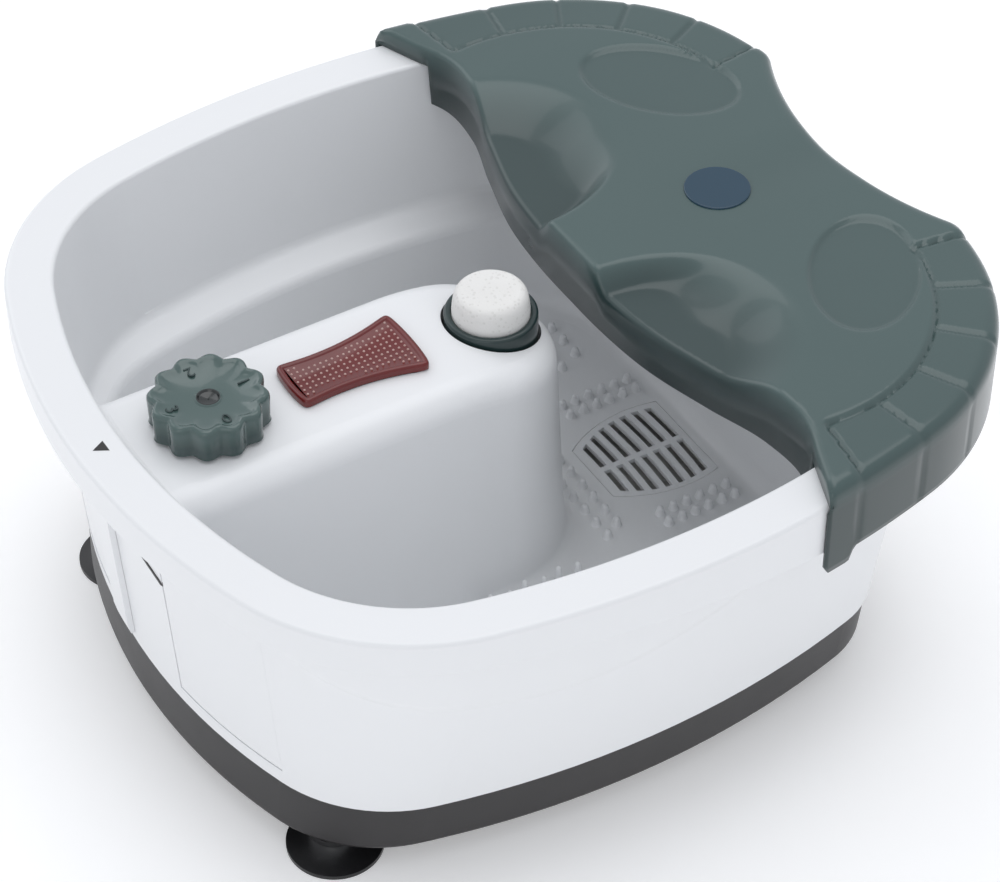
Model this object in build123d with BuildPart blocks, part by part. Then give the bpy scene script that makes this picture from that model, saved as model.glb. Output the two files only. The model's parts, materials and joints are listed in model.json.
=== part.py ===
from build123d import *
from math import cos, radians, sin, sqrt
import os

os.makedirs("parts", exist_ok=True)

# Foot spa basin, millimetres. +Z is up, -Y is the side with the dial, +Y the toe end under the guard.
# The origin is on the surface the feet stand on, under the middle of the basin.

# ---- overall sizes ----
rim_half_width = 200.0
front_reach = 212.0  # from the origin to the rim's front edge
rim_back_reach = 209.0  # from the origin to the back of the rim's two lobes
rim_height = 187.0
guard_rise = 11.0  # the guard's plateau above the rim
tile_rise = 2.0  # the tile band above the plateau

# ---- plan curves of the rim ----
front_radius = 347.0
corner_radius = 112.0
side_radius = 496.0
side_centre_y = -3.0
lobe_radius = 120.0
lobe_corner_radius = 10.0
notch_radius = 0.825 * rim_half_width
notch_reach = 189.0

# ---- walls and clearances ----
tub_wall = 2.5
shell_wall = 3.0
tray_wall = 2.5
guard_wall = 2.5
rim_thickness = 3.3
running_gap = 0.05
seat_gap = 0.3
loose_gap = 0.5

# ---- heights ----
foot_height = 14.5
tray_height = 31.0
tray_floor = foot_height + tray_wall
shell_bottom = foot_height + tray_height
tub_floor = 44.5
tub_underside = tub_floor - tub_wall
ledge_low = rim_height - 86.0
ledge_high = rim_height - 80.0
flange_underside = rim_height - rim_thickness
console_drop = 10.5  # the console's top below the rim
console_top = rim_height - console_drop
console_underside = console_top - tub_wall


def tangent_centre(centre_a, reach_a, centre_b, reach_b, side):
    """Point at reach_a from one centre and reach_b from another"""
    gap = (centre_b - centre_a).length
    along = (reach_a**2 - reach_b**2 + gap**2) / (2 * gap)
    across = sqrt(reach_a**2 - along**2)
    ahead = (centre_b - centre_a).normalized()
    return centre_a + ahead * along + Vector(-ahead.Y, ahead.X) * (side * across)


def flip(point):
    return Vector(-point.X, point.Y)


def on_arc(centre, toward, radius):
    return centre + (toward - centre).normalized() * radius


def front_and_sides(half, front, inset):
    """Centres and radii of the front, corner and side arcs, the ends of the corner arc"""
    front_r = front_radius - inset
    corner_r = corner_radius - inset
    side_r = side_radius - inset
    front_c = Vector(0, front_r - front)
    side_c = Vector(half - side_r, side_centre_y)
    corner_c = tangent_centre(side_c, side_r - corner_r, front_c, front_r - corner_r, -1)
    front_end = front_c + (corner_c - front_c).normalized() * front_r
    side_start = side_c + (corner_c - side_c).normalized() * side_r
    return side_c, side_r, corner_c, corner_r, front_end, side_start


def front_arcs(half, front, corner_c, corner_r, front_end, side_start):
    """The arcs from the right side, round the front, to the left side"""
    corner_mid = on_arc(corner_c, (front_end + side_start) * 0.5, corner_r)
    ThreePointArc(side_start, corner_mid, front_end)
    ThreePointArc(front_end, Vector(0, -front), flip(front_end))
    ThreePointArc(flip(front_end), flip(corner_mid), flip(side_start))


def basin_face(half, front, back, rear_r, inset=0.0, mode=Mode.ADD):
    """Plan of the basin's walls: the rim's front and sides with a plain back"""
    half, front, back, rear_r = half - inset, front - inset, back - inset, rear_r - inset
    rim_inset = min(rim_half_width - half, corner_radius / 2)
    side_c, side_r, corner_c, corner_r, front_end, side_start = front_and_sides(half, front, rim_inset)
    rear_y = back - rear_r
    rear_c = Vector(side_c.X + sqrt((side_r - rear_r) ** 2 - (rear_y - side_centre_y) ** 2), rear_y)
    side_end = on_arc(side_c, rear_c, side_r)
    back_start = Vector(rear_c.X, back)
    rear_mid = on_arc(rear_c, (side_end + back_start) * 0.5, rear_r)
    with BuildLine() as edge:
        front_arcs(half, front, corner_c, corner_r, front_end, side_start)
        ThreePointArc(flip(side_start), Vector(-half, side_centre_y), flip(side_end))
        ThreePointArc(flip(side_end), flip(rear_mid), flip(back_start))
        Line(flip(back_start), back_start)
        ThreePointArc(back_start, rear_mid, side_end)
        ThreePointArc(side_end, Vector(half, side_centre_y), side_start)
    make_face(edge.edges(), mode=mode)


side_spread = side_radius - lobe_radius
lobe_turn = (rim_back_reach - lobe_radius - side_centre_y) / side_spread
lobe_centre = Vector(
    rim_half_width - side_radius + side_spread * sqrt(1 - lobe_turn**2), rim_back_reach - lobe_radius
)
notch_centre = Vector(0, notch_reach + notch_radius)


def rim_face(inset=0.0, mode=Mode.ADD):
    """Plan of the rim: the same front and sides, two lobes and a shallow notch at the back"""
    half, front = rim_half_width - inset, front_reach - inset
    side_c, side_r, corner_c, corner_r, front_end, side_start = front_and_sides(half, front, inset)
    lobe_r = lobe_radius - inset
    notch_r = notch_radius + inset
    tip_r = lobe_corner_radius - inset
    tip_c = tangent_centre(lobe_centre, lobe_r - tip_r, notch_centre, notch_r + tip_r, -1)
    side_end = on_arc(side_c, lobe_centre, side_r)
    lobe_end = lobe_centre + (tip_c - lobe_centre).normalized() * lobe_r
    lobe_mid = on_arc(lobe_centre, (side_end + lobe_end) * 0.5, lobe_r)
    notch_start = on_arc(notch_centre, tip_c, notch_r)
    tip_mid = on_arc(tip_c, (lobe_end + notch_start) * 0.5, tip_r)
    with BuildLine() as edge:
        front_arcs(half, front, corner_c, corner_r, front_end, side_start)
        ThreePointArc(flip(side_start), Vector(-half, side_centre_y), flip(side_end))
        ThreePointArc(flip(side_end), flip(lobe_mid), flip(lobe_end))
        ThreePointArc(flip(lobe_end), flip(tip_mid), flip(notch_start))
        ThreePointArc(flip(notch_start), Vector(0, notch_reach - inset), notch_start)
        ThreePointArc(notch_start, tip_mid, lobe_end)
        ThreePointArc(lobe_end, lobe_mid, side_end)
        ThreePointArc(side_end, Vector(half, side_centre_y), side_start)
    make_face(edge.edges(), mode=mode)


def tapered(low, high, inset=0.0, mode=Mode.ADD):
    """Solid between two basin plans, each given as height, half width, front, back and rear radius"""
    plans = []
    for height, half, front, back, rear_r in (low, high):
        with BuildSketch(Plane.XY.offset(height)) as plan:
            basin_face(half, front, back, rear_r, inset)
        plans.append(plan.sketch)
    loft(sections=plans, mode=mode)


def edges_at(part, height):
    return [edge for edge in part.edges() if abs(edge.center().Z - height) < 0.01]


# ---- inner tub: rim, walls with a ledge, floor, hollow console ----
rim_band = 22.5  # flat top of the rim, outer edge to inner edge
tub_half_width = rim_half_width - rim_band
tub_front = front_reach - rim_band
tub_back = 142.0
rim_corner = 66.0
skirt_wall = 3.0
skirt_front_drop = 18.0
skirt_side_drop = 28.0
ledge_width = 18.0
upper_taper = 12.5
lower_taper = 6.0
floor_round = 12.0
ledge_round = 6.0
tub_top_plan = (rim_height, tub_half_width, tub_front, tub_back, rim_corner)
ledge_high_half = tub_half_width - upper_taper
ledge_high_plan = (ledge_high, ledge_high_half, tub_front - 9.5, tub_back - 4, rim_corner - 4)
ledge_low_plan = (ledge_low, ledge_high_half - ledge_width, tub_front - 18.5, tub_back - 12, 50)
floor_half_width = ledge_high_half - ledge_width - lower_taper
floor_plan = (tub_floor, floor_half_width, tub_front - 23.5, tub_back - 16, 46)
floor_outside = (tub_underside,) + floor_plan[1:]

console_half_width = 49.0  # at the floor
console_end = 35.0  # rounded end at the floor
console_draft = 0.0465
console_round = 13.0
droop_start = -40.0
droop_radius = 120.0
droop_angle = radians(14)
knob_y = -146.0
lens_y = -74.0
lens_length = 65.6
lens_front_half, lens_waist_half, lens_back_half = 15.5, 14.2, 21.5
lens_bulge = 1.8
lens_corner = 6.5
well_y = 1.0
well_radius = 23.6
well_depth = 25.5
well_bottom = console_top - well_depth
shaft_hole = 5.55
post_radius = 3.0
post_bore = 1.3
lamp_post_reach = 35.0
switch_post_reach = 24.0
lamp_board_top = console_underside - 19.6
switch_post_bottom = console_underside - 11.2
console_posts = [
    (0, lens_y - lamp_post_reach, lamp_board_top),
    (0, lens_y + lamp_post_reach, lamp_board_top),
    (-switch_post_reach, knob_y, switch_post_bottom),
    (switch_post_reach, knob_y, switch_post_bottom),
]
boss_radius = 5.0
boss_bore = 1.55
bosses = [(x * side, y) for side in (-1, 1) for x, y in ((60, -152), (floor_half_width - 9, -10), (45, 122))]


def console_solid(wall, bottom):
    """The console grown inwards by a wall: tapered walls, round end, top that droops to that end"""
    top = console_top - wall
    with BuildPart() as console:
        for height in (bottom, rim_height + 10):
            lean = wall + console_draft * (height - tub_floor)
            half, end = console_half_width - lean, console_end - lean
            with BuildSketch(Plane.XY.offset(height)):
                with BuildLine():
                    Line((half, end - half), (half, -front_reach - 20))
                    Line((half, -front_reach - 20), (-half, -front_reach - 20))
                    Line((-half, -front_reach - 20), (-half, end - half))
                    ThreePointArc((-half, end - half), (0, end), (half, end - half))
                make_face()
        loft()
        bend_r = droop_radius - wall
        bend_mid = (droop_start + bend_r * sin(droop_angle / 2), top - bend_r * (1 - cos(droop_angle / 2)))
        bend_end = (droop_start + bend_r * sin(droop_angle), top - bend_r * (1 - cos(droop_angle)))
        tail = (bend_end[0] + 100 * cos(droop_angle), bend_end[1] - 100 * sin(droop_angle))
        above = top + 100
        with BuildSketch(Plane.YZ):
            with BuildLine():
                Polyline((droop_start, top), (-front_reach - 40, top), (-front_reach - 40, above))
                Polyline((-front_reach - 40, above), (tail[0], above), tail, bend_end)
                ThreePointArc(bend_end, bend_mid, (droop_start, top))
            make_face()
        extrude(amount=rim_half_width, both=True, mode=Mode.SUBTRACT)
        walls = [face for face in console.faces() if abs(face.normal_at().Z) < 0.2]
        roof = [face for face in console.faces() if face.normal_at().Z > 0.9]
        rims = [edge for face in roof for edge in face.edges() if edge.center().Y > -front_reach]
        sides = [edge for face in walls for edge in face.edges()]
        fillet([edge for edge in rims if edge in sides], console_round - wall)
    return console.part


def lens_face(shrink=0.0, mode=Mode.ADD):
    """Waisted outline of the infrared window, wider towards the toe end"""
    front, back = lens_y - lens_length / 2 + shrink, lens_y + lens_length / 2 - shrink
    front_corner = Vector(lens_front_half - shrink, front + lens_bulge)
    waist = Vector(lens_waist_half - shrink, lens_y - 4)
    back_corner = Vector(lens_back_half - shrink, back - lens_bulge)
    with BuildLine() as edge:
        ThreePointArc(flip(front_corner), (0, front), front_corner)
        ThreePointArc(front_corner, waist, back_corner)
        ThreePointArc(back_corner, (0, back), flip(back_corner))
        ThreePointArc(flip(back_corner), flip(waist), flip(front_corner))
    with BuildSketch(mode=Mode.PRIVATE) as outline:
        make_face(edge.edges())
        fillet(outline.vertices(), lens_corner - shrink)
    add(outline.sketch, mode=mode)


grille_front, grille_middle, grille_back = 60.0, 98.0, 116.0
grille_front_half, grille_half, grille_back_half = 19.0, 31.0, 28.5


def grille_face(grow=0.0, mode=Mode.ADD):
    """Barrel-shaped plan of the floor grille"""
    front_corner = Vector(grille_front_half + grow, grille_front - grow)
    middle = Vector(grille_half + grow, grille_middle)
    back_corner = Vector(grille_back_half + grow, grille_back + grow)
    with BuildLine() as edge:
        Line(flip(front_corner), front_corner)
        ThreePointArc(front_corner, middle, back_corner)
        Line(back_corner, flip(back_corner))
        ThreePointArc(flip(back_corner), flip(middle), flip(front_corner))
    make_face(edge.edges(), mode=mode)


with BuildPart() as cavity:
    tapered(ledge_high_plan, (rim_height + 5,) + tub_top_plan[1:])
    tapered(ledge_low_plan, ledge_high_plan)
    tapered(floor_plan, ledge_low_plan)
    fillet(edges_at(cavity, tub_floor), floor_round)
    fillet(edges_at(cavity, ledge_low), ledge_round)
    fillet(edges_at(cavity, ledge_high), ledge_round)

console = console_solid(0, tub_underside - 10)
console_void = console_solid(tub_wall, tub_underside - 10)

with BuildPart() as water_space:
    add(cavity.part)
    add(console, mode=Mode.SUBTRACT)
    console_foot = [edge for edge in edges_at(water_space, tub_floor) if abs(edge.center().X) < 60]
    console_foot = [edge for edge in console_foot if -tub_front + 40 < edge.center().Y < console_end + 1]
    fillet(console_foot, 5)

with BuildPart() as wiring_space:
    add(console_void)
    with BuildSketch(Plane.XY.offset(well_bottom - tub_wall)):
        with Locations((0, well_y)):
            Circle(well_radius + tub_wall)
    extrude(amount=well_depth + 10, mode=Mode.SUBTRACT)
    with BuildSketch(Plane.XZ.offset(tub_front - 22)):
        Rectangle(4 * console_half_width, 4 * rim_height)
    extrude(amount=100, mode=Mode.SUBTRACT)
    for post_x, post_y, post_bottom in console_posts:
        with BuildSketch(Plane.XY.offset(post_bottom)):
            with Locations((post_x, post_y)):
                Circle(post_radius)
                Circle(post_bore, mode=Mode.SUBTRACT)
        extrude(amount=console_top - post_bottom, mode=Mode.SUBTRACT)

skirt_low = rim_height - skirt_side_drop
skirt_front_low = rim_height - skirt_front_drop
skirt_slope_start, skirt_slope_end = -110.0, 64.0
rim_round = 2.2
rim_inner_round = 2.0

with BuildPart() as rim_skirt:
    with BuildSketch(Plane.XY.offset(skirt_low)):
        rim_face()
        rim_face(skirt_wall, mode=Mode.SUBTRACT)
    extrude(amount=skirt_side_drop)
    with BuildSketch(Plane.YZ):
        with BuildLine():
            Polyline(
                (-front_reach - 10, skirt_low - 10),
                (-front_reach - 10, skirt_front_low),
                (skirt_slope_start, skirt_front_low),
                (skirt_slope_end, skirt_low),
                (skirt_slope_end, skirt_low - 10),
                close=True,
            )
        make_face()
    extrude(amount=rim_half_width + 10, both=True, mode=Mode.SUBTRACT)

with BuildPart() as inner_tub:
    with BuildSketch(Plane.XY.offset(flange_underside)):
        rim_face()
    extrude(amount=rim_thickness)
    add(rim_skirt.part)
    fillet(edges_at(inner_tub, rim_height), rim_round)
    tapered(ledge_high_plan, (flange_underside + 1,) + tub_top_plan[1:], -tub_wall)
    tapered(ledge_low_plan, ledge_high_plan, -tub_wall)
    tapered(floor_outside, ledge_low_plan, -tub_wall)
    with BuildSketch(Plane.XY.offset(tray_floor)):
        with Locations(bosses):
            Circle(boss_radius)
    extrude(amount=tub_underside - tray_floor + 1)
    add(water_space.part, mode=Mode.SUBTRACT)
    fillet(inner_tub.faces().sort_by(Axis.Z)[-1].inner_wires()[0].edges(), rim_inner_round)
    add(wiring_space.part, mode=Mode.SUBTRACT)
    with BuildSketch(Plane.XY.offset(tray_floor)):
        with Locations(bosses):
            Circle(boss_bore)
    extrude(amount=18, mode=Mode.SUBTRACT)
    with BuildSketch(Plane.XY.offset(well_bottom)):
        with Locations((0, well_y)):
            Circle(well_radius)
    extrude(amount=well_depth + 10, mode=Mode.SUBTRACT)
    with BuildSketch(Plane.XY.offset(console_underside - 5)):
        with Locations((0, knob_y)):
            Circle(shaft_hole)
        lens_face(shrink=4.5)
    extrude(amount=20, mode=Mode.SUBTRACT)
    with BuildSketch(Plane.XY.offset(tub_underside - 5)):
        grille_face(grow=seat_gap)
    extrude(amount=20, mode=Mode.SUBTRACT)
inner_tub.part.label = "inner_tub"
export_step(inner_tub.part, "parts/inner_tub.step")

# ---- massage nubs on the floor: sole-shaped fields of domes, tall fingers beside the console ----
nub_radius, nub_tip, nub_height = 2.3, 1.2, 3.4
finger_radius, finger_tip, finger_height = 2.4, 1.3, 11.0
nub_pitch = 11.5
sole_half_width, sole_half_length = 34.0, 100.0
sole_x, sole_y = floor_half_width - 49.0, 8.0
nubs = []
for row in range(-9, 10):
    for column in range(-3, 4):
        nub_x = (column + 0.5 * (row % 2)) * nub_pitch
        nub_y = row * nub_pitch
        if (nub_x / sole_half_width) ** 2 + (nub_y / sole_half_length) ** 2 < 1:
            nubs += [(side * (sole_x + nub_x), sole_y + nub_y) for side in (-1, 1)]
toe_pitch = 7.8
for row in range(6):
    nubs += [(side * x, 73 + row * toe_pitch) for side in (-1, 1) for x in (41.5, 49.5)]
for row in range(2):
    nubs += [(column * 10.5 + 5.2 * (row % 2), 42 + row * 8.5) for column in range(-5, 5 - row)]
fingers = []
for row in range(6):
    fingers += [(side * (57.5 + 2.5 * (row % 2)), -34 + row * 9.5) for side in (-1, 1)]

with BuildPart() as massage_nubs:
    with Locations([(x, y, tub_floor) for x, y in nubs]):
        Cone(nub_radius, nub_tip, nub_height, align=(Align.CENTER, Align.CENTER, Align.MIN))
    with Locations([(x, y, tub_floor) for x, y in fingers]):
        Cone(finger_radius, finger_tip, finger_height, align=(Align.CENTER, Align.CENTER, Align.MIN))
massage_nubs.part.label = "massage_nubs"
export_step(massage_nubs.part, "parts/massage_nubs.step")

# ---- outer shell with two shallow panels on its front ----
shell_top_half = rim_half_width - 13.0
shell_foot_half = rim_half_width - 36.5
shell_front = front_reach - 25.0
shell_foot_plan = (shell_bottom, shell_foot_half, shell_front, tub_back + 3, 48)
shell_top_plan = (flange_underside, shell_top_half, shell_front + 9, tub_back + 9, 64)
panel_low = shell_bottom + 9.0
panel_high = rim_height - 22.0
panel_inner, panel_outer = 32.0, 102.0
panel_thickness = 1.3
panel_recess = 1.6


def panel_block(side, inset):
    with BuildPart() as block:
        with BuildSketch(Plane.XZ.offset(shell_front - 25)):
            with Locations((side * (panel_inner + panel_outer) / 2, (panel_low + panel_high) / 2)):
                Rectangle(panel_outer - panel_inner - 2 * inset, panel_high - panel_low - 2 * inset)
        extrude(amount=60)
    return block.part


panel_recess_blocks = [panel_block(side, 0) for side in (-1, 1)]

with BuildPart() as shell_behind_panels:
    tapered(shell_foot_plan, shell_top_plan, panel_recess)

with BuildPart() as outer_shell:
    tapered(shell_foot_plan, shell_top_plan)
    for block in panel_recess_blocks:
        add(block.cut(shell_behind_panels.part), mode=Mode.SUBTRACT)
    tapered(shell_foot_plan, shell_top_plan, shell_wall, mode=Mode.SUBTRACT)
outer_shell.part.label = "outer_shell"
export_step(outer_shell.part, "parts/outer_shell.step")

for side, name in ((1, "front_panel_right"), (-1, "front_panel_left")):
    panel_edge = panel_block(side, loose_gap)
    with BuildPart() as front_panel:
        tapered(shell_foot_plan, shell_top_plan, panel_recess - panel_thickness)
        add(shell_behind_panels.part, mode=Mode.SUBTRACT)
        add(panel_edge, mode=Mode.INTERSECT)
    front_panel.part.label = name
    export_step(front_panel.part, f"parts/{name}.step")

# ---- base tray and its gasket ----
gasket_thickness = 1.0
tray_half = shell_foot_half - 1.5
tray_foot_plan = (foot_height, tray_half - 4, shell_front + 0.5, tub_back + 1, 46)
tray_top_plan = (shell_bottom - gasket_thickness, tray_half, shell_front - 0.5, tub_back + 1, 46)
foot_inset = 53.0
foot_spots = [(x, y) for x in (foot_inset - tray_half, tray_half - foot_inset) for y in (-149.0, 111.0)]
foot_stud_radius = 2.0
gland_x, gland_z, gland_radius = 60.0, 31.0, 6.0
blower_y = -105.0
vent_width, vent_length, vent_count, vent_pitch = 3.0, 26.0, 5, 6.5
screw_head_radius, screw_head_height = 3.2, 1.6
board_spot = (-95.0, 78.0)
board_size = (62.0, 50.0)
board_hole_reach = (26.0, 20.0)
board_posts = [(board_spot[0] + i * board_hole_reach[0], board_spot[1] + j * board_hole_reach[1])
               for i in (-1, 1) for j in (-1, 1)]
board_bottom = tray_floor + 7.0

with BuildPart() as base_tray:
    tapered(tray_foot_plan, tray_top_plan)
    fillet(edges_at(base_tray, foot_height), 3)
    tapered((tray_floor, *tray_foot_plan[1:]), tray_top_plan, tray_wall, mode=Mode.SUBTRACT)
    with BuildSketch(Plane.XY.offset(tray_floor)):
        with Locations(board_posts):
            Circle(3)
            Circle(post_bore, mode=Mode.SUBTRACT)
    extrude(amount=board_bottom - tray_floor)
    with BuildSketch(Plane.XY.offset(foot_height - 1)):
        with Locations(foot_spots):
            Circle(foot_stud_radius + running_gap)
        with Locations(bosses):
            Circle(boss_bore)
        with Locations((0, blower_y)):
            with GridLocations(vent_pitch, 0, vent_count, 1):
                Rectangle(vent_width, vent_length)
    extrude(amount=tray_wall + 2, mode=Mode.SUBTRACT)
    with BuildSketch(Plane.XZ.offset(-tub_back - 10)):
        with Locations((gland_x, gland_z)):
            Circle(gland_radius + running_gap)
    extrude(amount=20, mode=Mode.SUBTRACT)
base_tray.part.label = "base_tray"
export_step(base_tray.part, "parts/base_tray.step")

with BuildPart() as base_gasket:
    with BuildSketch(Plane.XY.offset(shell_bottom - gasket_thickness)):
        basin_face(*tray_top_plan[1:], 0.4)
        basin_face(*tray_top_plan[1:], tray_wall + 0.5, mode=Mode.SUBTRACT)
    extrude(amount=gasket_thickness)
base_gasket.part.label = "base_gasket"
export_step(base_gasket.part, "parts/base_gasket.step")

# ---- suction feet and their studs ----
foot_radius = 23.0
foot_neck = 9.0
foot_names = ("front_left", "rear_left", "front_right", "rear_right")
for (foot_x, foot_y), corner in zip(foot_spots, foot_names):
    with BuildPart() as suction_foot:
        with BuildSketch(Plane.XZ):
            with BuildLine():
                Polyline((0, 3.5), (8, 3.5))
                Spline((8, 3.5), (foot_radius - 2, 0), tangents=((1, 0), (1, -0.5)))
                Line((foot_radius - 2, 0), (foot_radius, 0))
                Line((foot_radius, 0), (foot_radius, 2.2))
                Spline((foot_radius, 2.2), (foot_neck, 9), tangents=((-1, 0.15), (-0.3, 1)))
                Polyline((foot_neck, 9), (foot_neck + 4, 11), (foot_neck + 4, foot_height), (0, foot_height))
                Line((0, foot_height), (0, 3.5))
            make_face()
        revolve(axis=Axis.Z)
        with BuildSketch(Plane.XY.offset(6)):
            Circle(foot_stud_radius)
        extrude(amount=foot_height, mode=Mode.SUBTRACT)
    suction_foot.part.position = (foot_x, foot_y, 0)
    suction_foot.part.label = f"suction_foot_{corner}"
    export_step(suction_foot.part, f"parts/suction_foot_{corner}.step")

with BuildPart() as foot_studs:
    with BuildSketch(Plane.XY.offset(6)):
        with Locations(foot_spots):
            Circle(foot_stud_radius)
    extrude(amount=tray_floor - 6)
    with BuildSketch(Plane.XY.offset(tray_floor)):
        with Locations(foot_spots):
            Circle(foot_stud_radius * 2)
    extrude(amount=2.4)
foot_studs.part.label = "foot_studs"
export_step(foot_studs.part, "parts/foot_studs.step")

# ---- toe guard: a thin shell with a skirt, a front curtain and two scooped foot wells ----
guard_top = rim_height + guard_rise
guard_gap = 0.5
guard_edge = guard_gap + guard_wall
guard_skirt_low = rim_height - 31.5
curtain_low = rim_height - 22.5
curtain_half = tub_half_width - 11.0
guard_rest = rim_height + seat_gap
lip_spread = rim_half_width / 200  # the lip keeps its shape as the rim widens
lip_right = [(0, 44.5), (24.5, 44.8), (61, 48.5), (97, 58), (130, 68), (158, 68.5), (174, 62), (204, 56.5)]
lip_points = [(x * lip_spread, y) for x, y in lip_right]
scoop_floor = rim_height + 0.5
dish_x, dish_y = 85.5, 153.0
dish_length, dish_width, dish_turn = 88.0, 54.0, 39.0
dish_depth = 1.2
rib_thickness = 2.0


def lip_side(shift):
    """Everything behind the guard's front lip, with the lip moved back by shift"""
    points = [(x, y + shift) for x, y in lip_points]
    with BuildLine() as edge:
        right = Spline(*points, tangents=((1, 0), (1, -0.2)))
        left = mirror(right, about=Plane.YZ, mode=Mode.ADD)
        far = 2 * rim_back_reach
        Line(points[-1], (points[-1][0], far))
        Line((points[-1][0], far), (-points[-1][0], far))
        Line((-points[-1][0], far), (-points[-1][0], points[-1][1]))
    return edge.edges()


def guard_block(grow, shift, low, high):
    """The rim's plan grown outwards, behind the shifted lip, between two heights"""
    with BuildSketch(Plane.XY.offset(low)) as plan:
        rim_face(-grow)
        make_face(lip_side(shift), mode=Mode.INTERSECT)
    with BuildPart() as block:
        extrude(plan.sketch, amount=high - low)
    return block.part


def scoop(side, grow):
    """One foot well: a rounded hollow that opens forwards over the lip"""
    levels = ((scoop_floor - grow, 77, 62, 42, 50), (guard_top + 0.6, 85, 68, 59, 64))
    plans = []
    for height, centre_x, centre_y, half, length in levels:
        with BuildSketch(Plane.XY.offset(height)) as plan:
            with Locations((side * centre_x, centre_y)):
                Ellipse(half + grow, length - 12 + grow)
        plans.append(plan.sketch)
    with BuildPart() as hollow:
        loft(sections=plans)
    return hollow.part


guard_outside = guard_block(guard_edge, 0, guard_skirt_low, guard_top)
guard_inside = guard_block(guard_gap, guard_wall, guard_skirt_low - 1, guard_top - guard_wall)
lip_band = guard_block(guard_gap, -10, guard_skirt_low - 1, guard_rest)
with BuildPart() as curtain_room:
    with BuildSketch(Plane.XY.offset(curtain_low)):
        Rectangle(2 * curtain_half, 3 * rim_half_width)
    extrude(amount=guard_rest - curtain_low + 5)
with BuildPart() as rim_passage:
    add(lip_band)
    add(curtain_room.part, mode=Mode.SUBTRACT)

with BuildPart() as splash_guard:
    add(guard_outside)
    fillet(splash_guard.faces().sort_by(Axis.Z)[-1].outer_wire().edges(), 2.0)
    add(guard_inside, mode=Mode.SUBTRACT)
    for side in (-1, 1):
        add(scoop(side, guard_wall).intersect(guard_outside))
    for side in (-1, 1):
        add(scoop(side, 0), mode=Mode.SUBTRACT)
    add(rim_passage.part, mode=Mode.SUBTRACT)
    with BuildSketch(Plane.XY.offset(guard_rest)):
        with Locations([(side * x, y) for side in (-1, 1) for x, y in ((60, 175), (150, 120))]):
            Rectangle(24, rib_thickness)
            Rectangle(rib_thickness, 24)
    extrude(amount=guard_top - guard_wall - guard_rest + 0.5)
    with BuildSketch(Plane.XY.offset(guard_top)):
        for side in (-1, 1):
            with Locations((side * dish_x, dish_y)):
                Ellipse(dish_length / 2, dish_width / 2, rotation=-side * dish_turn)
    extrude(amount=-dish_depth, mode=Mode.SUBTRACT)
splash_guard.part.label = "splash_guard"
export_step(splash_guard.part, "parts/splash_guard.step")

# ---- tile band round the guard's two lobes, and the round badge ----
tile_count = 5
tile_inner_radius, tile_outer_radius = lobe_radius - 27, lobe_radius - 4
tile_first_angle, tile_last_angle = -8.0, 81.5
tile_joint = 2.0
tile_pitch = (tile_last_angle - tile_first_angle) / tile_count
with BuildPart() as guard_tiles:
    for index in range(tile_count):
        start = tile_first_angle + index * tile_pitch
        sweep_angle = tile_pitch - tile_joint
        with BuildSketch(Plane.XY.offset(guard_top)):
            with BuildLine():
                outer = CenterArc(lobe_centre, tile_outer_radius, start, sweep_angle)
                inner = CenterArc(lobe_centre, tile_inner_radius, start, sweep_angle)
                Line(outer @ 0, inner @ 0)
                Line(outer @ 1, inner @ 1)
            make_face()
        extrude(amount=tile_rise)
    mirror(about=Plane.YZ)
guard_tiles.part.label = "guard_tiles"
export_step(guard_tiles.part, "parts/guard_tiles.step")

badge_radius, badge_thickness = 16.0, 1.2
badge_y = 126.5
with BuildPart() as guard_badge:
    with BuildSketch(Plane.XY.offset(guard_top)):
        with Locations((0, badge_y)):
            Circle(badge_radius)
    extrude(amount=badge_thickness)
    fillet(guard_badge.faces().sort_by(Axis.Z)[-1].edges(), 0.6)
guard_badge.part.label = "guard_badge"
export_step(guard_badge.part, "parts/guard_badge.step")

# ---- dial, its shaft, seal and rotary switch ----
knob_radius, knob_height, knob_lobes = 27.7, 16.5, 12
knob_lobe_radius = 5.2
knob_bottom = console_top + 1.8
knob_top = knob_bottom + knob_height
knob_roof, knob_boss = 2.5, 6.0
shaft_radius = 3.0
shaft_top = knob_top - 4.0
switch_top = console_underside - 4.5
switch_size, switch_height = 30.0, 18.0
switch_bottom = switch_top - switch_height
ear_thickness = 2.4

with BuildPart() as control_knob:
    with BuildSketch(Plane.XY.offset(knob_bottom)):
        Circle(knob_radius - knob_lobe_radius * 0.55)
        with PolarLocations(knob_radius - knob_lobe_radius, knob_lobes):
            Circle(knob_lobe_radius)
    extrude(amount=knob_height)
    fillet(control_knob.faces().sort_by(Axis.Z)[-1].edges(), 1.6)
    with BuildSketch(Plane.XY.offset(knob_bottom)):
        Circle(knob_radius - 2 * knob_lobe_radius + 2)
        Circle(knob_boss, mode=Mode.SUBTRACT)
    extrude(amount=knob_height - knob_roof, mode=Mode.SUBTRACT)
    with BuildSketch(Plane.XY.offset(knob_bottom)):
        Circle(shaft_radius + running_gap)
    extrude(amount=shaft_top - knob_bottom + 0.2, mode=Mode.SUBTRACT)
control_knob.part.position = (0, knob_y, 0)
control_knob.part.label = "control_knob"
export_step(control_knob.part, "parts/control_knob.step")

with BuildPart() as switch_shaft:
    with BuildSketch(Plane.XY.offset(switch_bottom + 6)):
        with Locations((0, knob_y)):
            Circle(shaft_radius)
    extrude(amount=shaft_top - switch_bottom - 6)
switch_shaft.part.label = "switch_shaft"
export_step(switch_shaft.part, "parts/switch_shaft.step")

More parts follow.
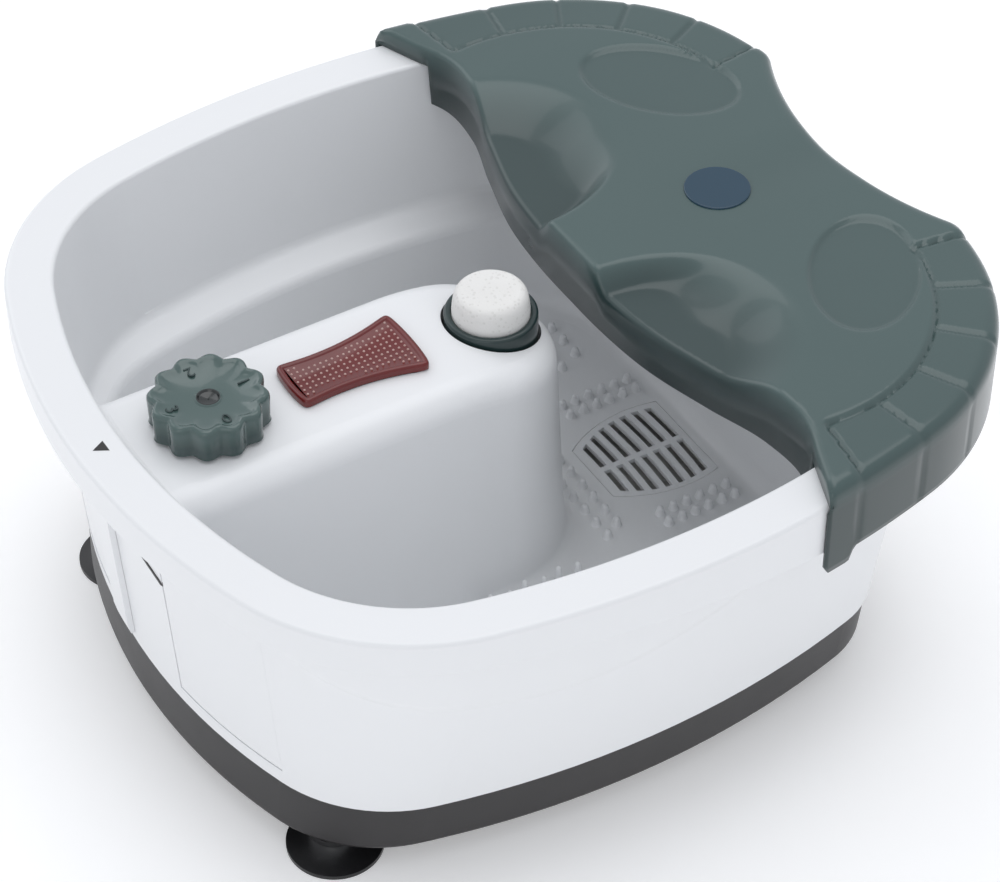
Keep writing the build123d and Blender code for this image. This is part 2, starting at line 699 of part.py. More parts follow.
with BuildPart() as shaft_seal:
    with BuildSketch(Plane.XY.offset(console_underside)):
        with Locations((0, knob_y)):
            Circle(shaft_hole - running_gap)
            Circle(shaft_radius + running_gap, mode=Mode.SUBTRACT)
    extrude(amount=tub_wall)
shaft_seal.part.label = "shaft_seal"
export_step(shaft_seal.part, "parts/shaft_seal.step")

with BuildPart() as rotary_switch:
    with BuildSketch(Plane.XY.offset(switch_bottom)):
        with Locations((0, knob_y)):
            RectangleRounded(switch_size, switch_size, 3)
    extrude(amount=switch_height)
    with BuildSketch(Plane.XY.offset(switch_post_bottom - ear_thickness)):
        with Locations((0, knob_y)):
            SlotOverall(2 * switch_post_reach + 10, 10)
            with Locations((-switch_post_reach, 0), (switch_post_reach, 0)):
                Circle(post_bore, mode=Mode.SUBTRACT)
    extrude(amount=ear_thickness)
    with BuildSketch(Plane.XY.offset(switch_bottom + 5)):
        with Locations((0, knob_y)):
            Circle(shaft_radius + running_gap)
    extrude(amount=switch_height, mode=Mode.SUBTRACT)
rotary_switch.part.label = "rotary_switch"
export_step(rotary_switch.part, "parts/rotary_switch.step")

# ---- infrared window, gasket, lamp board and lamps ----
lens_gasket_thickness = 0.8
lens_thickness = 3.0
lens_seat = console_top + lens_gasket_thickness
lamp_radius, lamp_height = 4.0, 14.0
lamp_board_thickness = 1.6

with BuildPart() as lens_gasket:
    with BuildSketch(Plane.XY.offset(console_top)):
        lens_face(shrink=1.0)
        lens_face(shrink=4.2, mode=Mode.SUBTRACT)
    extrude(amount=lens_gasket_thickness)
lens_gasket.part.label = "lens_gasket"
export_step(lens_gasket.part, "parts/lens_gasket.step")

with BuildPart() as infrared_lens:
    with BuildSketch(Plane.XY.offset(lens_seat)):
        lens_face()
    extrude(amount=lens_thickness)
    fillet(infrared_lens.faces().sort_by(Axis.Z)[-1].edges(), 1.2)
    with BuildSketch(Plane.XY.offset(console_underside)):
        lens_face(shrink=5.2)
    extrude(amount=lens_seat - console_underside)
infrared_lens.part.label = "infrared_lens"
export_step(infrared_lens.part, "parts/infrared_lens.step")

with BuildPart() as lamp_board:
    with BuildSketch(Plane.XY.offset(lamp_board_top - lamp_board_thickness)):
        with Locations((0, lens_y)):
            Rectangle(30, 2 * lamp_post_reach + 8)
            with Locations((0, -lamp_post_reach), (0, lamp_post_reach)):
                Circle(post_bore, mode=Mode.SUBTRACT)
    extrude(amount=lamp_board_thickness)
lamp_board.part.label = "lamp_board"
export_step(lamp_board.part, "parts/lamp_board.step")

with BuildPart() as infrared_lamps:
    with BuildSketch(Plane.XY.offset(lamp_board_top)):
        with Locations((0, lens_y)):
            with GridLocations(14, 15, 2, 4):
                Circle(lamp_radius)
    extrude(amount=lamp_height)
    fillet(infrared_lamps.faces().filter_by(Axis.Z).group_by(Axis.Z)[-1].edges(), 3.0)
infrared_lamps.part.label = "infrared_lamps"
export_step(infrared_lamps.part, "parts/infrared_lamps.step")

# ---- lift-out attachment: cup and pumice stone ----
socket_radius, socket_wall, socket_floor = 22.2, 3.7, 2.5
socket_bottom = well_bottom + seat_gap
socket_top = console_top + 1.2
stone_radius = socket_radius - socket_wall - running_gap
stone_top_radius = 13.5
stone_top = socket_top + 12.5

with BuildPart() as attachment_socket:
    with BuildSketch(Plane.XY.offset(socket_bottom)):
        Circle(socket_radius)
    extrude(amount=socket_top - socket_bottom)
    with BuildSketch(Plane.XY.offset(socket_bottom + socket_floor)):
        Circle(socket_radius - socket_wall)
    extrude(amount=socket_top, mode=Mode.SUBTRACT)
    fillet(edges_at(attachment_socket, socket_top), 1.5)
attachment_socket.part.position = (0, well_y, 0)
attachment_socket.part.label = "attachment_socket"
export_step(attachment_socket.part, "parts/attachment_socket.step")

with BuildPart() as pumice_stone:
    with BuildSketch(Plane.XZ):
        with BuildLine():
            Polyline(
                (0, socket_bottom + socket_floor),
                (stone_radius, socket_bottom + socket_floor),
                (stone_radius, socket_top + 2),
            )
            Spline(
                (stone_radius, socket_top + 2),
                (stone_top_radius, stone_top),
                tangents=((-0.12, 1), (-1, 0.12)),
            )
            Polyline((stone_top_radius, stone_top), (0, stone_top), (0, socket_bottom + socket_floor))
        make_face()
    revolve(axis=Axis.Z)
pumice_stone.part.position = (0, well_y, 0)
pumice_stone.part.label = "pumice_stone"
export_step(pumice_stone.part, "parts/pumice_stone.step")

# ---- floor grille and the bubble manifold under it ----
grille_thickness = 2.5
slot_pitch, slot_width, slot_bow = 7.2, 3.8, 2.0
slot_rib, slot_margin = 1.6, 3.0
grille_slots_y = (grille_front + grille_back - slot_width) / 2 + slot_bow / 2
slot_count = 7

with BuildPart() as floor_grille:
    with BuildSketch(Plane.XY.offset(tub_underside)):
        grille_face()
    extrude(amount=grille_thickness)
    with BuildSketch(Plane.XY.offset(tub_underside - 1)):
        for index in range(slot_count):
            slot_y = grille_slots_y + (index - (slot_count - 1) / 2) * slot_pitch
            with BuildLine() as slot_edge:
                reach = grille_half + 5
                front_edge = ThreePointArc((-reach, slot_y - slot_bow), (0, slot_y), (reach, slot_y - slot_bow))
                back_edge = front_edge.moved(Location((0, slot_width, 0)))
                add(back_edge)
                Line(front_edge @ 0, back_edge @ 0)
                Line(front_edge @ 1, back_edge @ 1)
            make_face()
        grille_face(grow=-slot_margin, mode=Mode.INTERSECT)
        with Locations((0, grille_middle)):
            Rectangle(2 * slot_rib, 200, mode=Mode.SUBTRACT)
    extrude(amount=grille_thickness + 2, mode=Mode.SUBTRACT)
floor_grille.part.label = "floor_grille"
export_step(floor_grille.part, "parts/floor_grille.step")

manifold_depth, manifold_wall, manifold_margin = 16.0, 2.0, 5.0
manifold_length = grille_back - grille_front + 2 * manifold_margin
manifold_width = 2 * (grille_half + manifold_margin)
manifold_y = (grille_front + grille_back) / 2
manifold_front = manifold_y - manifold_length / 2
hose_radius, hose_bore = 6.0, 4.5
hose_x = 18.0
housing_bottom = tray_floor + 1.0
housing_height = 21.0
housing_top = housing_bottom + housing_height
hose_low = housing_top - hose_radius
with BuildPart() as bubble_manifold:
    with BuildSketch(Plane.XY.offset(tub_underside - manifold_depth)):
        with Locations((0, manifold_y)):
            RectangleRounded(manifold_width, manifold_length, 10)
    extrude(amount=manifold_depth)
    with BuildSketch(Plane.XY.offset(tub_underside - manifold_depth + manifold_wall)):
        with Locations((0, manifold_y)):
            RectangleRounded(manifold_width - 2 * manifold_wall, manifold_length - 2 * manifold_wall, 8)
    extrude(amount=manifold_depth, mode=Mode.SUBTRACT)
    with BuildSketch(Plane.XZ.offset(-manifold_front - 4)):
        with Locations((hose_x, hose_low)):
            Circle(hose_bore)
    extrude(amount=8, mode=Mode.SUBTRACT)
bubble_manifold.part.label = "bubble_manifold"
export_step(bubble_manifold.part, "parts/bubble_manifold.step")

# ---- bubble blower: housing, impeller, shaft and motor ----
housing_radius, housing_wall = 36.0, 2.0
impeller_radius, impeller_height, blade_count = 31.0, 11.0, 9
blower_shaft_radius = 2.0
blower_motor_radius, blower_motor_height = 15.0, 34.0
blower_motor_bottom = housing_top + 0.3
outlet_end = blower_y + housing_radius + 12
with BuildPart() as blower_housing:
    with BuildSketch(Plane.XY.offset(housing_bottom)):
        with Locations((0, blower_y)):
            Circle(housing_radius)
    extrude(amount=housing_height)
    with BuildSketch(Plane.XZ.offset(-outlet_end)):
        with Locations((hose_x, hose_low)):
            Circle(hose_radius)
    extrude(amount=outlet_end - blower_y)
    with BuildSketch(Plane.XY.offset(housing_bottom + housing_wall)):
        with Locations((0, blower_y)):
            Circle(housing_radius - housing_wall)
    extrude(amount=housing_height - 2 * housing_wall, mode=Mode.SUBTRACT)
    with BuildSketch(Plane.XZ.offset(-outlet_end)):
        with Locations((hose_x, hose_low)):
            Circle(hose_bore)
    extrude(amount=outlet_end - blower_y, mode=Mode.SUBTRACT)
    with BuildSketch(Plane.XY.offset(housing_bottom - 1)):
        with Locations((0, blower_y)):
            Circle(13)
    extrude(amount=housing_wall + 2, mode=Mode.SUBTRACT)
    with BuildSketch(Plane.XY.offset(housing_top - housing_wall - 1)):
        with Locations((0, blower_y)):
            Circle(blower_shaft_radius + loose_gap)
    extrude(amount=housing_wall + 2, mode=Mode.SUBTRACT)
blower_housing.part.label = "blower_housing"
export_step(blower_housing.part, "parts/blower_housing.step")

impeller_bottom = housing_bottom + housing_wall + 2.0
with BuildPart() as blower_impeller:
    with BuildSketch(Plane.XY.offset(impeller_bottom)):
        Circle(impeller_radius)
        Circle(blower_shaft_radius + running_gap, mode=Mode.SUBTRACT)
    extrude(amount=1.6)
    with BuildSketch(Plane.XY.offset(impeller_bottom)):
        Circle(6)
        Circle(blower_shaft_radius + running_gap, mode=Mode.SUBTRACT)
        with PolarLocations(impeller_radius - 9, blade_count):
            Rectangle(16, 1.6, rotation=25)
    extrude(amount=impeller_height)
blower_impeller.part.position = (0, blower_y, 0)
blower_impeller.part.label = "blower_impeller"
export_step(blower_impeller.part, "parts/blower_impeller.step")

with BuildPart() as blower_shaft:
    with BuildSketch(Plane.XY.offset(impeller_bottom)):
        with Locations((0, blower_y)):
            Circle(blower_shaft_radius)
    extrude(amount=blower_motor_bottom + blower_motor_height - 4 - impeller_bottom)
blower_shaft.part.label = "blower_shaft"
export_step(blower_shaft.part, "parts/blower_shaft.step")

with BuildPart() as blower_motor:
    with BuildSketch(Plane.XY.offset(blower_motor_bottom)):
        with Locations((0, blower_y)):
            Circle(blower_motor_radius)
    extrude(amount=blower_motor_height)
    fillet(edges_at(blower_motor, blower_motor_bottom + blower_motor_height), 2)
    with BuildSketch(Plane.XY.offset(blower_motor_bottom - 0.3)):
        with Locations((0, blower_y)):
            Circle(blower_motor_radius + 5)
    extrude(amount=2.3)
    with BuildSketch(Plane.XY.offset(blower_motor_bottom - 1)):
        with Locations((0, blower_y)):
            Circle(blower_shaft_radius + running_gap)
    extrude(amount=blower_motor_height - 2, mode=Mode.SUBTRACT)
blower_motor.part.label = "blower_motor"
export_step(blower_motor.part, "parts/blower_motor.step")

hose_rise_y, hose_fall_y = outlet_end + 18, well_y + 9
hose_top = well_bottom - tub_wall - 12
hose_path_points = [
    (hose_x, outlet_end, hose_low),
    (hose_x, hose_rise_y, hose_low),
    (hose_x, hose_rise_y, hose_top),
    (hose_x, hose_fall_y, hose_top),
    (hose_x, hose_fall_y, hose_low),
    (hose_x, manifold_front, hose_low),
]
with BuildPart() as air_hose:
    with BuildLine():
        FilletPolyline(*hose_path_points, radius=14)
    with BuildSketch(Plane.XZ.offset(-outlet_end)):
        with Locations((hose_x, hose_low)):
            Circle(hose_radius)
            Circle(hose_bore, mode=Mode.SUBTRACT)
    sweep()
air_hose.part.label = "air_hose"
export_step(air_hose.part, "parts/air_hose.step")

# ---- vibration motor with its off-centre weights ----
motor_x, motor_y = -20.0, -28.0
motor_radius, motor_length = 16.0, 44.0
motor_shaft_radius = 2.5
bracket_base = 2.5
motor_z = tray_floor + bracket_base + motor_radius + 3
bracket_width, bracket_length = 46.0, 26.0
weight_radius, weight_thickness = 13.0, 8.0
weight_reach = motor_length / 2 + 2 + weight_thickness / 2


def motor_disc(radius, start, length):
    """Round bar on the motor's axis, from start to start + length along Y"""
    with BuildPart() as bar:
        with BuildSketch(Plane.XZ.offset(-start - length)):
            with Locations((motor_x, motor_z)):
                Circle(radius)
        extrude(amount=length)
    return bar.part


with BuildPart() as motor_can:
    add(motor_disc(motor_radius, motor_y - motor_length / 2, motor_length))
    fillet(motor_can.edges(), 1.5)
    add(motor_disc(motor_shaft_radius + running_gap, motor_y - 30, 60), mode=Mode.SUBTRACT)
motor_can.part.label = "motor_can"
export_step(motor_can.part, "parts/motor_can.step")

with BuildPart() as motor_shaft:
    add(motor_disc(motor_shaft_radius, motor_y - weight_reach - 6, 2 * weight_reach + 12))
motor_shaft.part.label = "motor_shaft"
export_step(motor_shaft.part, "parts/motor_shaft.step")

with BuildPart() as eccentric_weights:
    for end in (-1, 1):
        weight_start = motor_y + end * weight_reach - weight_thickness / 2
        with BuildSketch(Plane.XZ.offset(-weight_start - weight_thickness)):
            with Locations((motor_x, motor_z)):
                Circle(weight_radius)
                with Locations((0, weight_radius / 2 + 5)):
                    Rectangle(3 * weight_radius, weight_radius + 10 - 5, mode=Mode.SUBTRACT)
                Circle(5.5)
                Circle(motor_shaft_radius + running_gap, mode=Mode.SUBTRACT)
        extrude(amount=weight_thickness)
eccentric_weights.part.label = "eccentric_weights"
export_step(eccentric_weights.part, "parts/eccentric_weights.step")

with BuildPart() as motor_bracket:
    with BuildSketch(Plane.XY.offset(tray_floor)):
        with Locations((motor_x, motor_y)):
            Rectangle(bracket_width, bracket_length)
    extrude(amount=bracket_base)
    with BuildSketch(Plane.XY.offset(tray_floor)):
        with Locations((motor_x, motor_y)):
            Rectangle(2 * motor_radius + 6, bracket_length)
    extrude(amount=motor_z - tray_floor)
    add(motor_disc(motor_radius + running_gap, motor_y - 30, 60), mode=Mode.SUBTRACT)
motor_bracket.part.label = "motor_bracket"
export_step(motor_bracket.part, "parts/motor_bracket.step")

with BuildPart() as motor_strap:
    add(motor_disc(motor_radius + 2, motor_y - 6, 12))
    add(motor_disc(motor_radius + running_gap, motor_y - 30, 60), mode=Mode.SUBTRACT)
    with BuildSketch(Plane.XY.offset(tray_floor)):
        with Locations((motor_x, motor_y)):
            Rectangle(80, 60)
    extrude(amount=motor_z - tray_floor, mode=Mode.SUBTRACT)
    with BuildSketch(Plane.XY.offset(motor_z)):
        with Locations((motor_x, motor_y)):
            with Locations((-motor_radius - 4.5, 0), (motor_radius + 4.5, 0)):
                Rectangle(8, 12)
    extrude(amount=2)
motor_strap.part.label = "motor_strap"
export_step(motor_strap.part, "parts/motor_strap.step")

# ---- floor heating ----
heater_thickness, heater_length, heater_width = 1.5, 140.0, 56.0
heater_x, heater_y = 92.0, -38.0
heater_bottom = tub_underside - heater_thickness
element_radius = 2.0
element_z = heater_bottom - element_radius
for side, name in ((1, "heater_plate_right"), (-1, "heater_plate_left")):
    with BuildPart() as heater_plate:
        with BuildSketch(Plane.XY.offset(heater_bottom)):
            with Locations((side * heater_x, heater_y)):
                RectangleRounded(heater_width, heater_length, 8)
        extrude(amount=heater_thickness)
    heater_plate.part.label = name
    export_step(heater_plate.part, f"parts/{name}.step")

element_half, element_reach = heater_width / 2 - 8, heater_length / 2 - 10
with BuildPart() as heater_elements:
    with BuildLine():
        FilletPolyline(
            (heater_x - element_half, heater_y + element_reach, element_z),
            (heater_x - element_half, heater_y - element_reach, element_z),
            (heater_x, heater_y - element_reach, element_z),
            (heater_x, heater_y + element_reach, element_z),
            (heater_x + element_half, heater_y + element_reach, element_z),
            (heater_x + element_half, heater_y - element_reach, element_z),
            radius=9,
        )
    with BuildSketch(Plane.XZ.offset(-heater_y - element_reach)):
        with Locations((heater_x - element_half, element_z)):
            Circle(element_radius)
    sweep()
    mirror(about=Plane.YZ)
heater_elements.part.label = "heater_elements"
export_step(heater_elements.part, "parts/heater_elements.step")

with BuildPart() as thermostat:
    with BuildSketch(Plane.XY.offset(heater_bottom - 7)):
        with Locations((heater_x - element_half / 2, heater_y)):
            Circle(6)
    extrude(amount=7)
thermostat.part.label = "thermostat"
export_step(thermostat.part, "parts/thermostat.step")

with BuildPart() as thermal_fuse:
    with BuildSketch(Plane.XZ.offset(-heater_y - 12)):
        with Locations((-heater_x + element_half / 2, heater_bottom - 2.5)):
            Circle(2.5)
    extrude(amount=24)
thermal_fuse.part.label = "thermal_fuse"
export_step(thermal_fuse.part, "parts/thermal_fuse.step")

# ---- power board, terminals, wiring and the inlet gland ----
with BuildPart() as power_board:
    with BuildSketch(Plane.XY.offset(board_bottom)):
        with Locations(board_spot):
            Rectangle(*board_size)
        with Locations(board_posts):
            Circle(post_bore, mode=Mode.SUBTRACT)
    extrude(amount=1.6)
power_board.part.label = "power_board"
export_step(power_board.part, "parts/power_board.step")

board_top = board_bottom + 1.6
with BuildPart() as board_components:
    for spot_x, spot_y, width, length, height in (
        (-12, 8, 18, 16, 13),
        (10, 10, 12, 18, 11),
        (2, -12, 8, 8, 6),
        (-14, -12, 10, 6, 5),
    ):
        with BuildSketch(Plane.XY.offset(board_top)):
            with Locations((board_spot[0] + spot_x, board_spot[1] + spot_y)):
                RectangleRounded(width, length, 1.5)
        extrude(amount=height)
board_components.part.label = "board_components"
export_step(board_components.part, "parts/board_components.step")

with BuildPart() as terminal_block:
    with BuildSketch(Plane.XY.offset(tray_floor)):
        with Locations((gland_x + 25, tub_back - 40)):
            Rectangle(40, 16)
    extrude(amount=12)
    with BuildSketch(Plane.XY.offset(tray_floor + 8)):
        with Locations((gland_x + 25, tub_back - 40)):
            with GridLocations(12, 0, 3, 1):
                Circle(3)
    extrude(amount=8, mode=Mode.SUBTRACT)
terminal_block.part.label = "terminal_block"
export_step(terminal_block.part, "parts/terminal_block.step")

loom_radius = 2.5
loom_x, loom_rise_y, loom_top = -39.0, -12.0, well_bottom - tub_wall - 10
loom_z = board_top + loom_radius + 1
board_edge = board_spot[0] + board_size[0] / 2
board_exit_y = board_spot[1] - 20
with BuildPart() as wiring_loom:
    with BuildLine():
        FilletPolyline(
            (board_edge, board_exit_y, loom_z),
            (loom_x, board_exit_y, loom_z),
            (loom_x, loom_rise_y, loom_z),
            (loom_x, loom_rise_y, loom_top),
            (loom_x, knob_y + 20, loom_top),
            (-8, knob_y, loom_top),
            (-8, knob_y, switch_bottom),
            radius=6,
        )
    with BuildSketch(Plane.YZ.offset(board_edge)):
        with Locations((board_exit_y, loom_z)):
            Circle(loom_radius)
    sweep()
wiring_loom.part.label = "wiring_loom"
export_step(wiring_loom.part, "parts/wiring_loom.step")

with BuildPart() as cord_gland:
    with BuildSketch(Plane.XZ.offset(-tub_back - 6)):
        with Locations((gland_x, gland_z)):
            Circle(gland_radius - running_gap)
    extrude(amount=12)
    with BuildSketch(Plane.XZ.offset(-tub_back - 4.5)):
        with Locations((gland_x, gland_z)):
            Circle(gland_radius + 3.5)
    extrude(amount=3)
    with BuildSketch(Plane.XZ.offset(-tub_back - 10)):
        with Locations((gland_x, gland_z)):
            Circle(3.4)
    extrude(amount=20, mode=Mode.SUBTRACT)
cord_gland.part.label = "cord_gland"
export_step(cord_gland.part, "parts/cord_gland.step")

# ---- screws ----
with BuildPart() as base_screws:
    with BuildSketch(Plane.XY.offset(foot_height - screw_head_height)):
        with Locations(bosses):
            Circle(screw_head_radius)
    extrude(amount=screw_head_height)
    with BuildSketch(Plane.XY.offset(foot_height)):
        with Locations(bosses):
            Circle(boss_bore - running_gap)
    extrude(amount=18)
base_screws.part.label = "base_screws"
export_step(base_screws.part, "parts/base_screws.step")

with BuildPart() as console_screws:
    for post_x, post_y, post_bottom in console_posts:
        held = lamp_board_thickness if post_bottom == lamp_board_top else ear_thickness
        with BuildSketch(Plane.XY.offset(post_bottom - held - 1.8)):
            with Locations((post_x, post_y)):
                Circle(2.6)
        extrude(amount=1.8)
        with BuildSketch(Plane.XY.offset(post_bottom - held)):
            with Locations((post_x, post_y)):
                Circle(post_bore - running_gap)
        extrude(amount=held + 5.5)
console_screws.part.label = "console_screws"
export_step(console_screws.part, "parts/console_screws.step")
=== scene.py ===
import json
from math import atan2, cos, hypot, pi, radians, sin, sqrt

import bmesh
import bpy
import numpy as np
from mathutils import Matrix, Vector
from mathutils.bvhtree import BVHTree
from mathutils.geometry import delaunay_2d_cdt, tessellate_polygon


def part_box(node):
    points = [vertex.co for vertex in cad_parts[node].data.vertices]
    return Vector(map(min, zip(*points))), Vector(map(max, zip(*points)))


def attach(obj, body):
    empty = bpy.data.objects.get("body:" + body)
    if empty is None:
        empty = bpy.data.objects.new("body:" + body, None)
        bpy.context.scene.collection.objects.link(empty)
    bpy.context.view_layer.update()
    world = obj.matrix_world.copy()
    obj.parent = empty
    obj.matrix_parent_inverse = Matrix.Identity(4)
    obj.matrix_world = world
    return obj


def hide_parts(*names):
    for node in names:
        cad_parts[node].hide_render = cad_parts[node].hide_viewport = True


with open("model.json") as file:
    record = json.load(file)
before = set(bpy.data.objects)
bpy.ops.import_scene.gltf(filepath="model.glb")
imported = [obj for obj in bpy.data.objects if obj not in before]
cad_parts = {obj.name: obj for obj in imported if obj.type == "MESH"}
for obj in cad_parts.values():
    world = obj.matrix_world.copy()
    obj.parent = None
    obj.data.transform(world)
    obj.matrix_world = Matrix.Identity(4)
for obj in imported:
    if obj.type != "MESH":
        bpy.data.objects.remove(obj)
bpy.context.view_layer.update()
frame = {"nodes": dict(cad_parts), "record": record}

mm = 0.001
nodes = frame["nodes"]
dial_y = -0.146

# ---------------------------------------------------------------- shader maths


class Field:
    """A number that varies over the surface, written as ordinary arithmetic."""

    def __init__(self, finish, socket):
        self.finish = finish
        self.socket = socket

    def maths(self, operation, *values):
        sockets = [value.socket if isinstance(value, Field) else value for value in values]
        node = self.finish.node("ShaderNodeMath", {"operation": operation}, dict(enumerate(sockets)))
        return Field(self.finish, node.outputs[0])

    def __add__(self, other):
        return self.maths("ADD", self, other)

    def __sub__(self, other):
        return self.maths("SUBTRACT", self, other)

    def __rsub__(self, other):
        return self.maths("SUBTRACT", other, self)

    def __mul__(self, other):
        return self.maths("MULTIPLY", self, other)

    def __truediv__(self, other):
        return self.maths("DIVIDE", self, other)

    def __lt__(self, other):
        return self.maths("LESS_THAN", self, other)

    __radd__ = __add__
    __rmul__ = __mul__

    def clamp(self):
        return self.maths("MINIMUM", self.maths("MAXIMUM", self, 0.0), 1.0)

    def root(self):
        return self.maths("SQRT", self)


class Finish:
    """One material: a Principled shader and the fields that drive it."""

    def __init__(self, name, **constants):
        self.material = bpy.data.materials.new(name)
        self.material.use_nodes = True
        self.tree = self.material.node_tree
        self.shader = self.tree.nodes["Principled BSDF"]
        for socket, value in constants.items():
            self.shader.inputs[socket.replace("_", " ")].default_value = value

    def node(self, kind, settings=None, inputs=None):
        node = self.tree.nodes.new(kind)
        for name, value in (settings or {}).items():
            setattr(node, name, value)
        for key, value in (inputs or {}).items():
            if isinstance(value, Field):
                value = value.socket
            if isinstance(value, bpy.types.NodeSocket):
                self.tree.links.new(value, node.inputs[key])
            else:
                node.inputs[key].default_value = value
        return node

    def place(self):
        return self.node("ShaderNodeTexCoord").outputs["Object"]

    def axes(self):
        parts = self.node("ShaderNodeSeparateXYZ", None, {"Vector": self.place()})
        return [Field(self, parts.outputs[i]) for i in range(3)]

    def noise(self, scale, detail=2.0, roughness=0.5):
        settings = {"noise_dimensions": "3D"}
        inputs = {"Vector": self.place(), "Scale": scale, "Detail": detail, "Roughness": roughness}
        return Field(self, self.node("ShaderNodeTexNoise", settings, inputs).outputs["Fac"])

    def cells(self, scale):
        inputs = {"Vector": self.place(), "Scale": scale}
        return Field(self, self.node("ShaderNodeTexVoronoi", {"feature": "F1"}, inputs).outputs["Distance"])

    def mix(self, amount, low, high):
        node = self.node("ShaderNodeMix", {"data_type": "RGBA"}, {0: amount, 6: low, 7: high})
        return node.outputs[2]

    def drive(self, socket, value):
        value = value.socket if isinstance(value, Field) else value
        self.tree.links.new(value, self.shader.inputs[socket])

    def bump(self, height, depth, strength=1.0):
        inputs = {"Height": height, "Distance": depth, "Strength": strength}
        node = self.node("ShaderNodeBump", None, inputs)
        self.tree.links.new(node.outputs[0], self.shader.inputs["Normal"])


def moulded(name, colour, shade, roughness, grain=0.00001, coat=0.0, specular=0.5):
    """Injection-moulded plastic: faint flow tone, uneven gloss and a very fine skin"""
    finish = Finish(name, Coat_Weight=coat, Coat_Roughness=0.08, Specular_IOR_Level=specular)
    flow = finish.noise(9.0, 3.0)
    finish.drive("Base Color", finish.mix(flow, (*shade, 1), (*colour, 1)))
    finish.drive("Roughness", finish.noise(55.0, 2.0) * 0.08 + (roughness - 0.04))
    finish.bump(finish.noise(1400.0, 2.0), grain)
    return finish


def white_plastic():
    return moulded("white_plastic", (0.87, 0.88, 0.89), (0.86, 0.87, 0.88), 0.3, coat=0.1).material


def dark_plastic():
    colour, shade = (0.022, 0.020, 0.021), (0.017, 0.016, 0.0165)
    return moulded("dark_plastic", colour, shade, 0.42, grain=0.00005).material


def green_plastic():
    """Smoky green plastic: the flat top is paler, with painted shade that makes the hollows and side walls
    deeper
    """
    finish = Finish("green_plastic", Coat_Weight=0.3, Coat_Roughness=0.08, Specular_IOR_Level=0.5)
    x, y, z = finish.axes()
    # painted shade: the green darkens with depth below the flat top, so the hollows and side walls are painted
    # darker
    depth = ((0.1985 - z) * 70).clamp()
    flow = finish.noise(6.0, 2.0)
    pale = finish.mix(flow, (0.062, 0.104, 0.101, 1), (0.075, 0.121, 0.117, 1))
    finish.drive("Base Color", finish.mix(depth, pale, (0.013, 0.032, 0.032, 1)))
    finish.drive("Roughness", finish.noise(40.0, 2.0) * 0.06 + 0.26)
    finish.bump(finish.noise(1100.0, 2.0), 0.00001)
    return finish.material


def dial_plastic():
    """The same smoky green on the dial, darker in its middle, and with painted shade at its foot"""
    finish = Finish("dial_plastic", Coat_Weight=0.5, Coat_Roughness=0.05, Specular_IOR_Level=0.5)
    x, y, z = finish.axes()
    reach = (x * x + (y - dial_y) * (y - dial_y)).root()
    # painted shade: the green darkens towards the foot of the dial, where it meets the rim
    foot = ((0.190 - z) * 140).clamp()
    tone = finish.mix(foot, (0.070, 0.115, 0.108, 1), (0.03, 0.058, 0.056, 1))
    finish.drive("Base Color", finish.mix(reach < 0.0055, tone, (0.008, 0.012, 0.012, 1)))
    finish.drive("Roughness", finish.noise(60.0, 2.0) * 0.06 + 0.16)
    finish.bump(finish.noise(900.0, 2.0), 0.00001)
    return finish.material


def red_plastic():
    finish = Finish("red_plastic", Coat_Weight=0.4, Coat_Roughness=0.06, Specular_IOR_Level=0.5)
    glow = finish.noise(30.0, 2.0)
    finish.drive("Base Color", finish.mix(glow, (0.10, 0.003, 0.002, 1), (0.17, 0.005, 0.004, 1)))
    finish.drive("Roughness", finish.noise(90.0) * 0.1 + 0.2)
    finish.bump(finish.noise(900.0), 0.00002)
    return finish.material


def blue_plastic():
    return moulded("blue_plastic", (0.010, 0.050, 0.088), (0.008, 0.042, 0.075), 0.22, coat=0.3).material


def rubber():
    finish = moulded("black_rubber", (0.013, 0.013, 0.014), (0.009, 0.009, 0.010), 0.34, grain=0.00006)
    return finish.material


def pumice():
    finish = Finish("pumice", Specular_IOR_Level=0.2)
    pores = finish.cells(420.0)
    # painted shade: the pores are darkened, standing in for the shade inside them
    pore_shade = (pores < 0.28) * 1.0
    cloud = finish.noise(60.0, 4.0)
    stone = finish.mix(cloud, (0.80, 0.79, 0.765, 1), (0.88, 0.875, 0.855, 1))
    finish.drive("Base Color", finish.mix(pore_shade * 0.22, stone, (0.55, 0.54, 0.5, 1)))
    finish.drive("Roughness", cloud * 0.1 + 0.82)
    finish.bump(pores.maths("MINIMUM", pores, 0.35) + finish.noise(900.0, 3.0) * 0.4, 0.0005)
    return finish.material


def metal(name, colour, roughness):
    finish = Finish(name, Metallic=1.0)
    brushed = finish.noise(300.0, 3.0)
    finish.drive("Base Color", finish.mix(brushed, (*[c * 0.85 for c in colour], 1), (*colour, 1)))
    finish.drive("Roughness", brushed * 0.15 + roughness)
    finish.bump(finish.noise(1500.0), 0.00002)
    return finish.material


def circuit_board():
    finish = moulded("circuit_board", (0.03, 0.15, 0.06), (0.022, 0.12, 0.045), 0.4)
    return finish.material


def lamp_glass():
    finish = moulded("lamp_glass", (0.42, 0.05, 0.04), (0.34, 0.035, 0.03), 0.1, coat=0.5)
    return finish.material


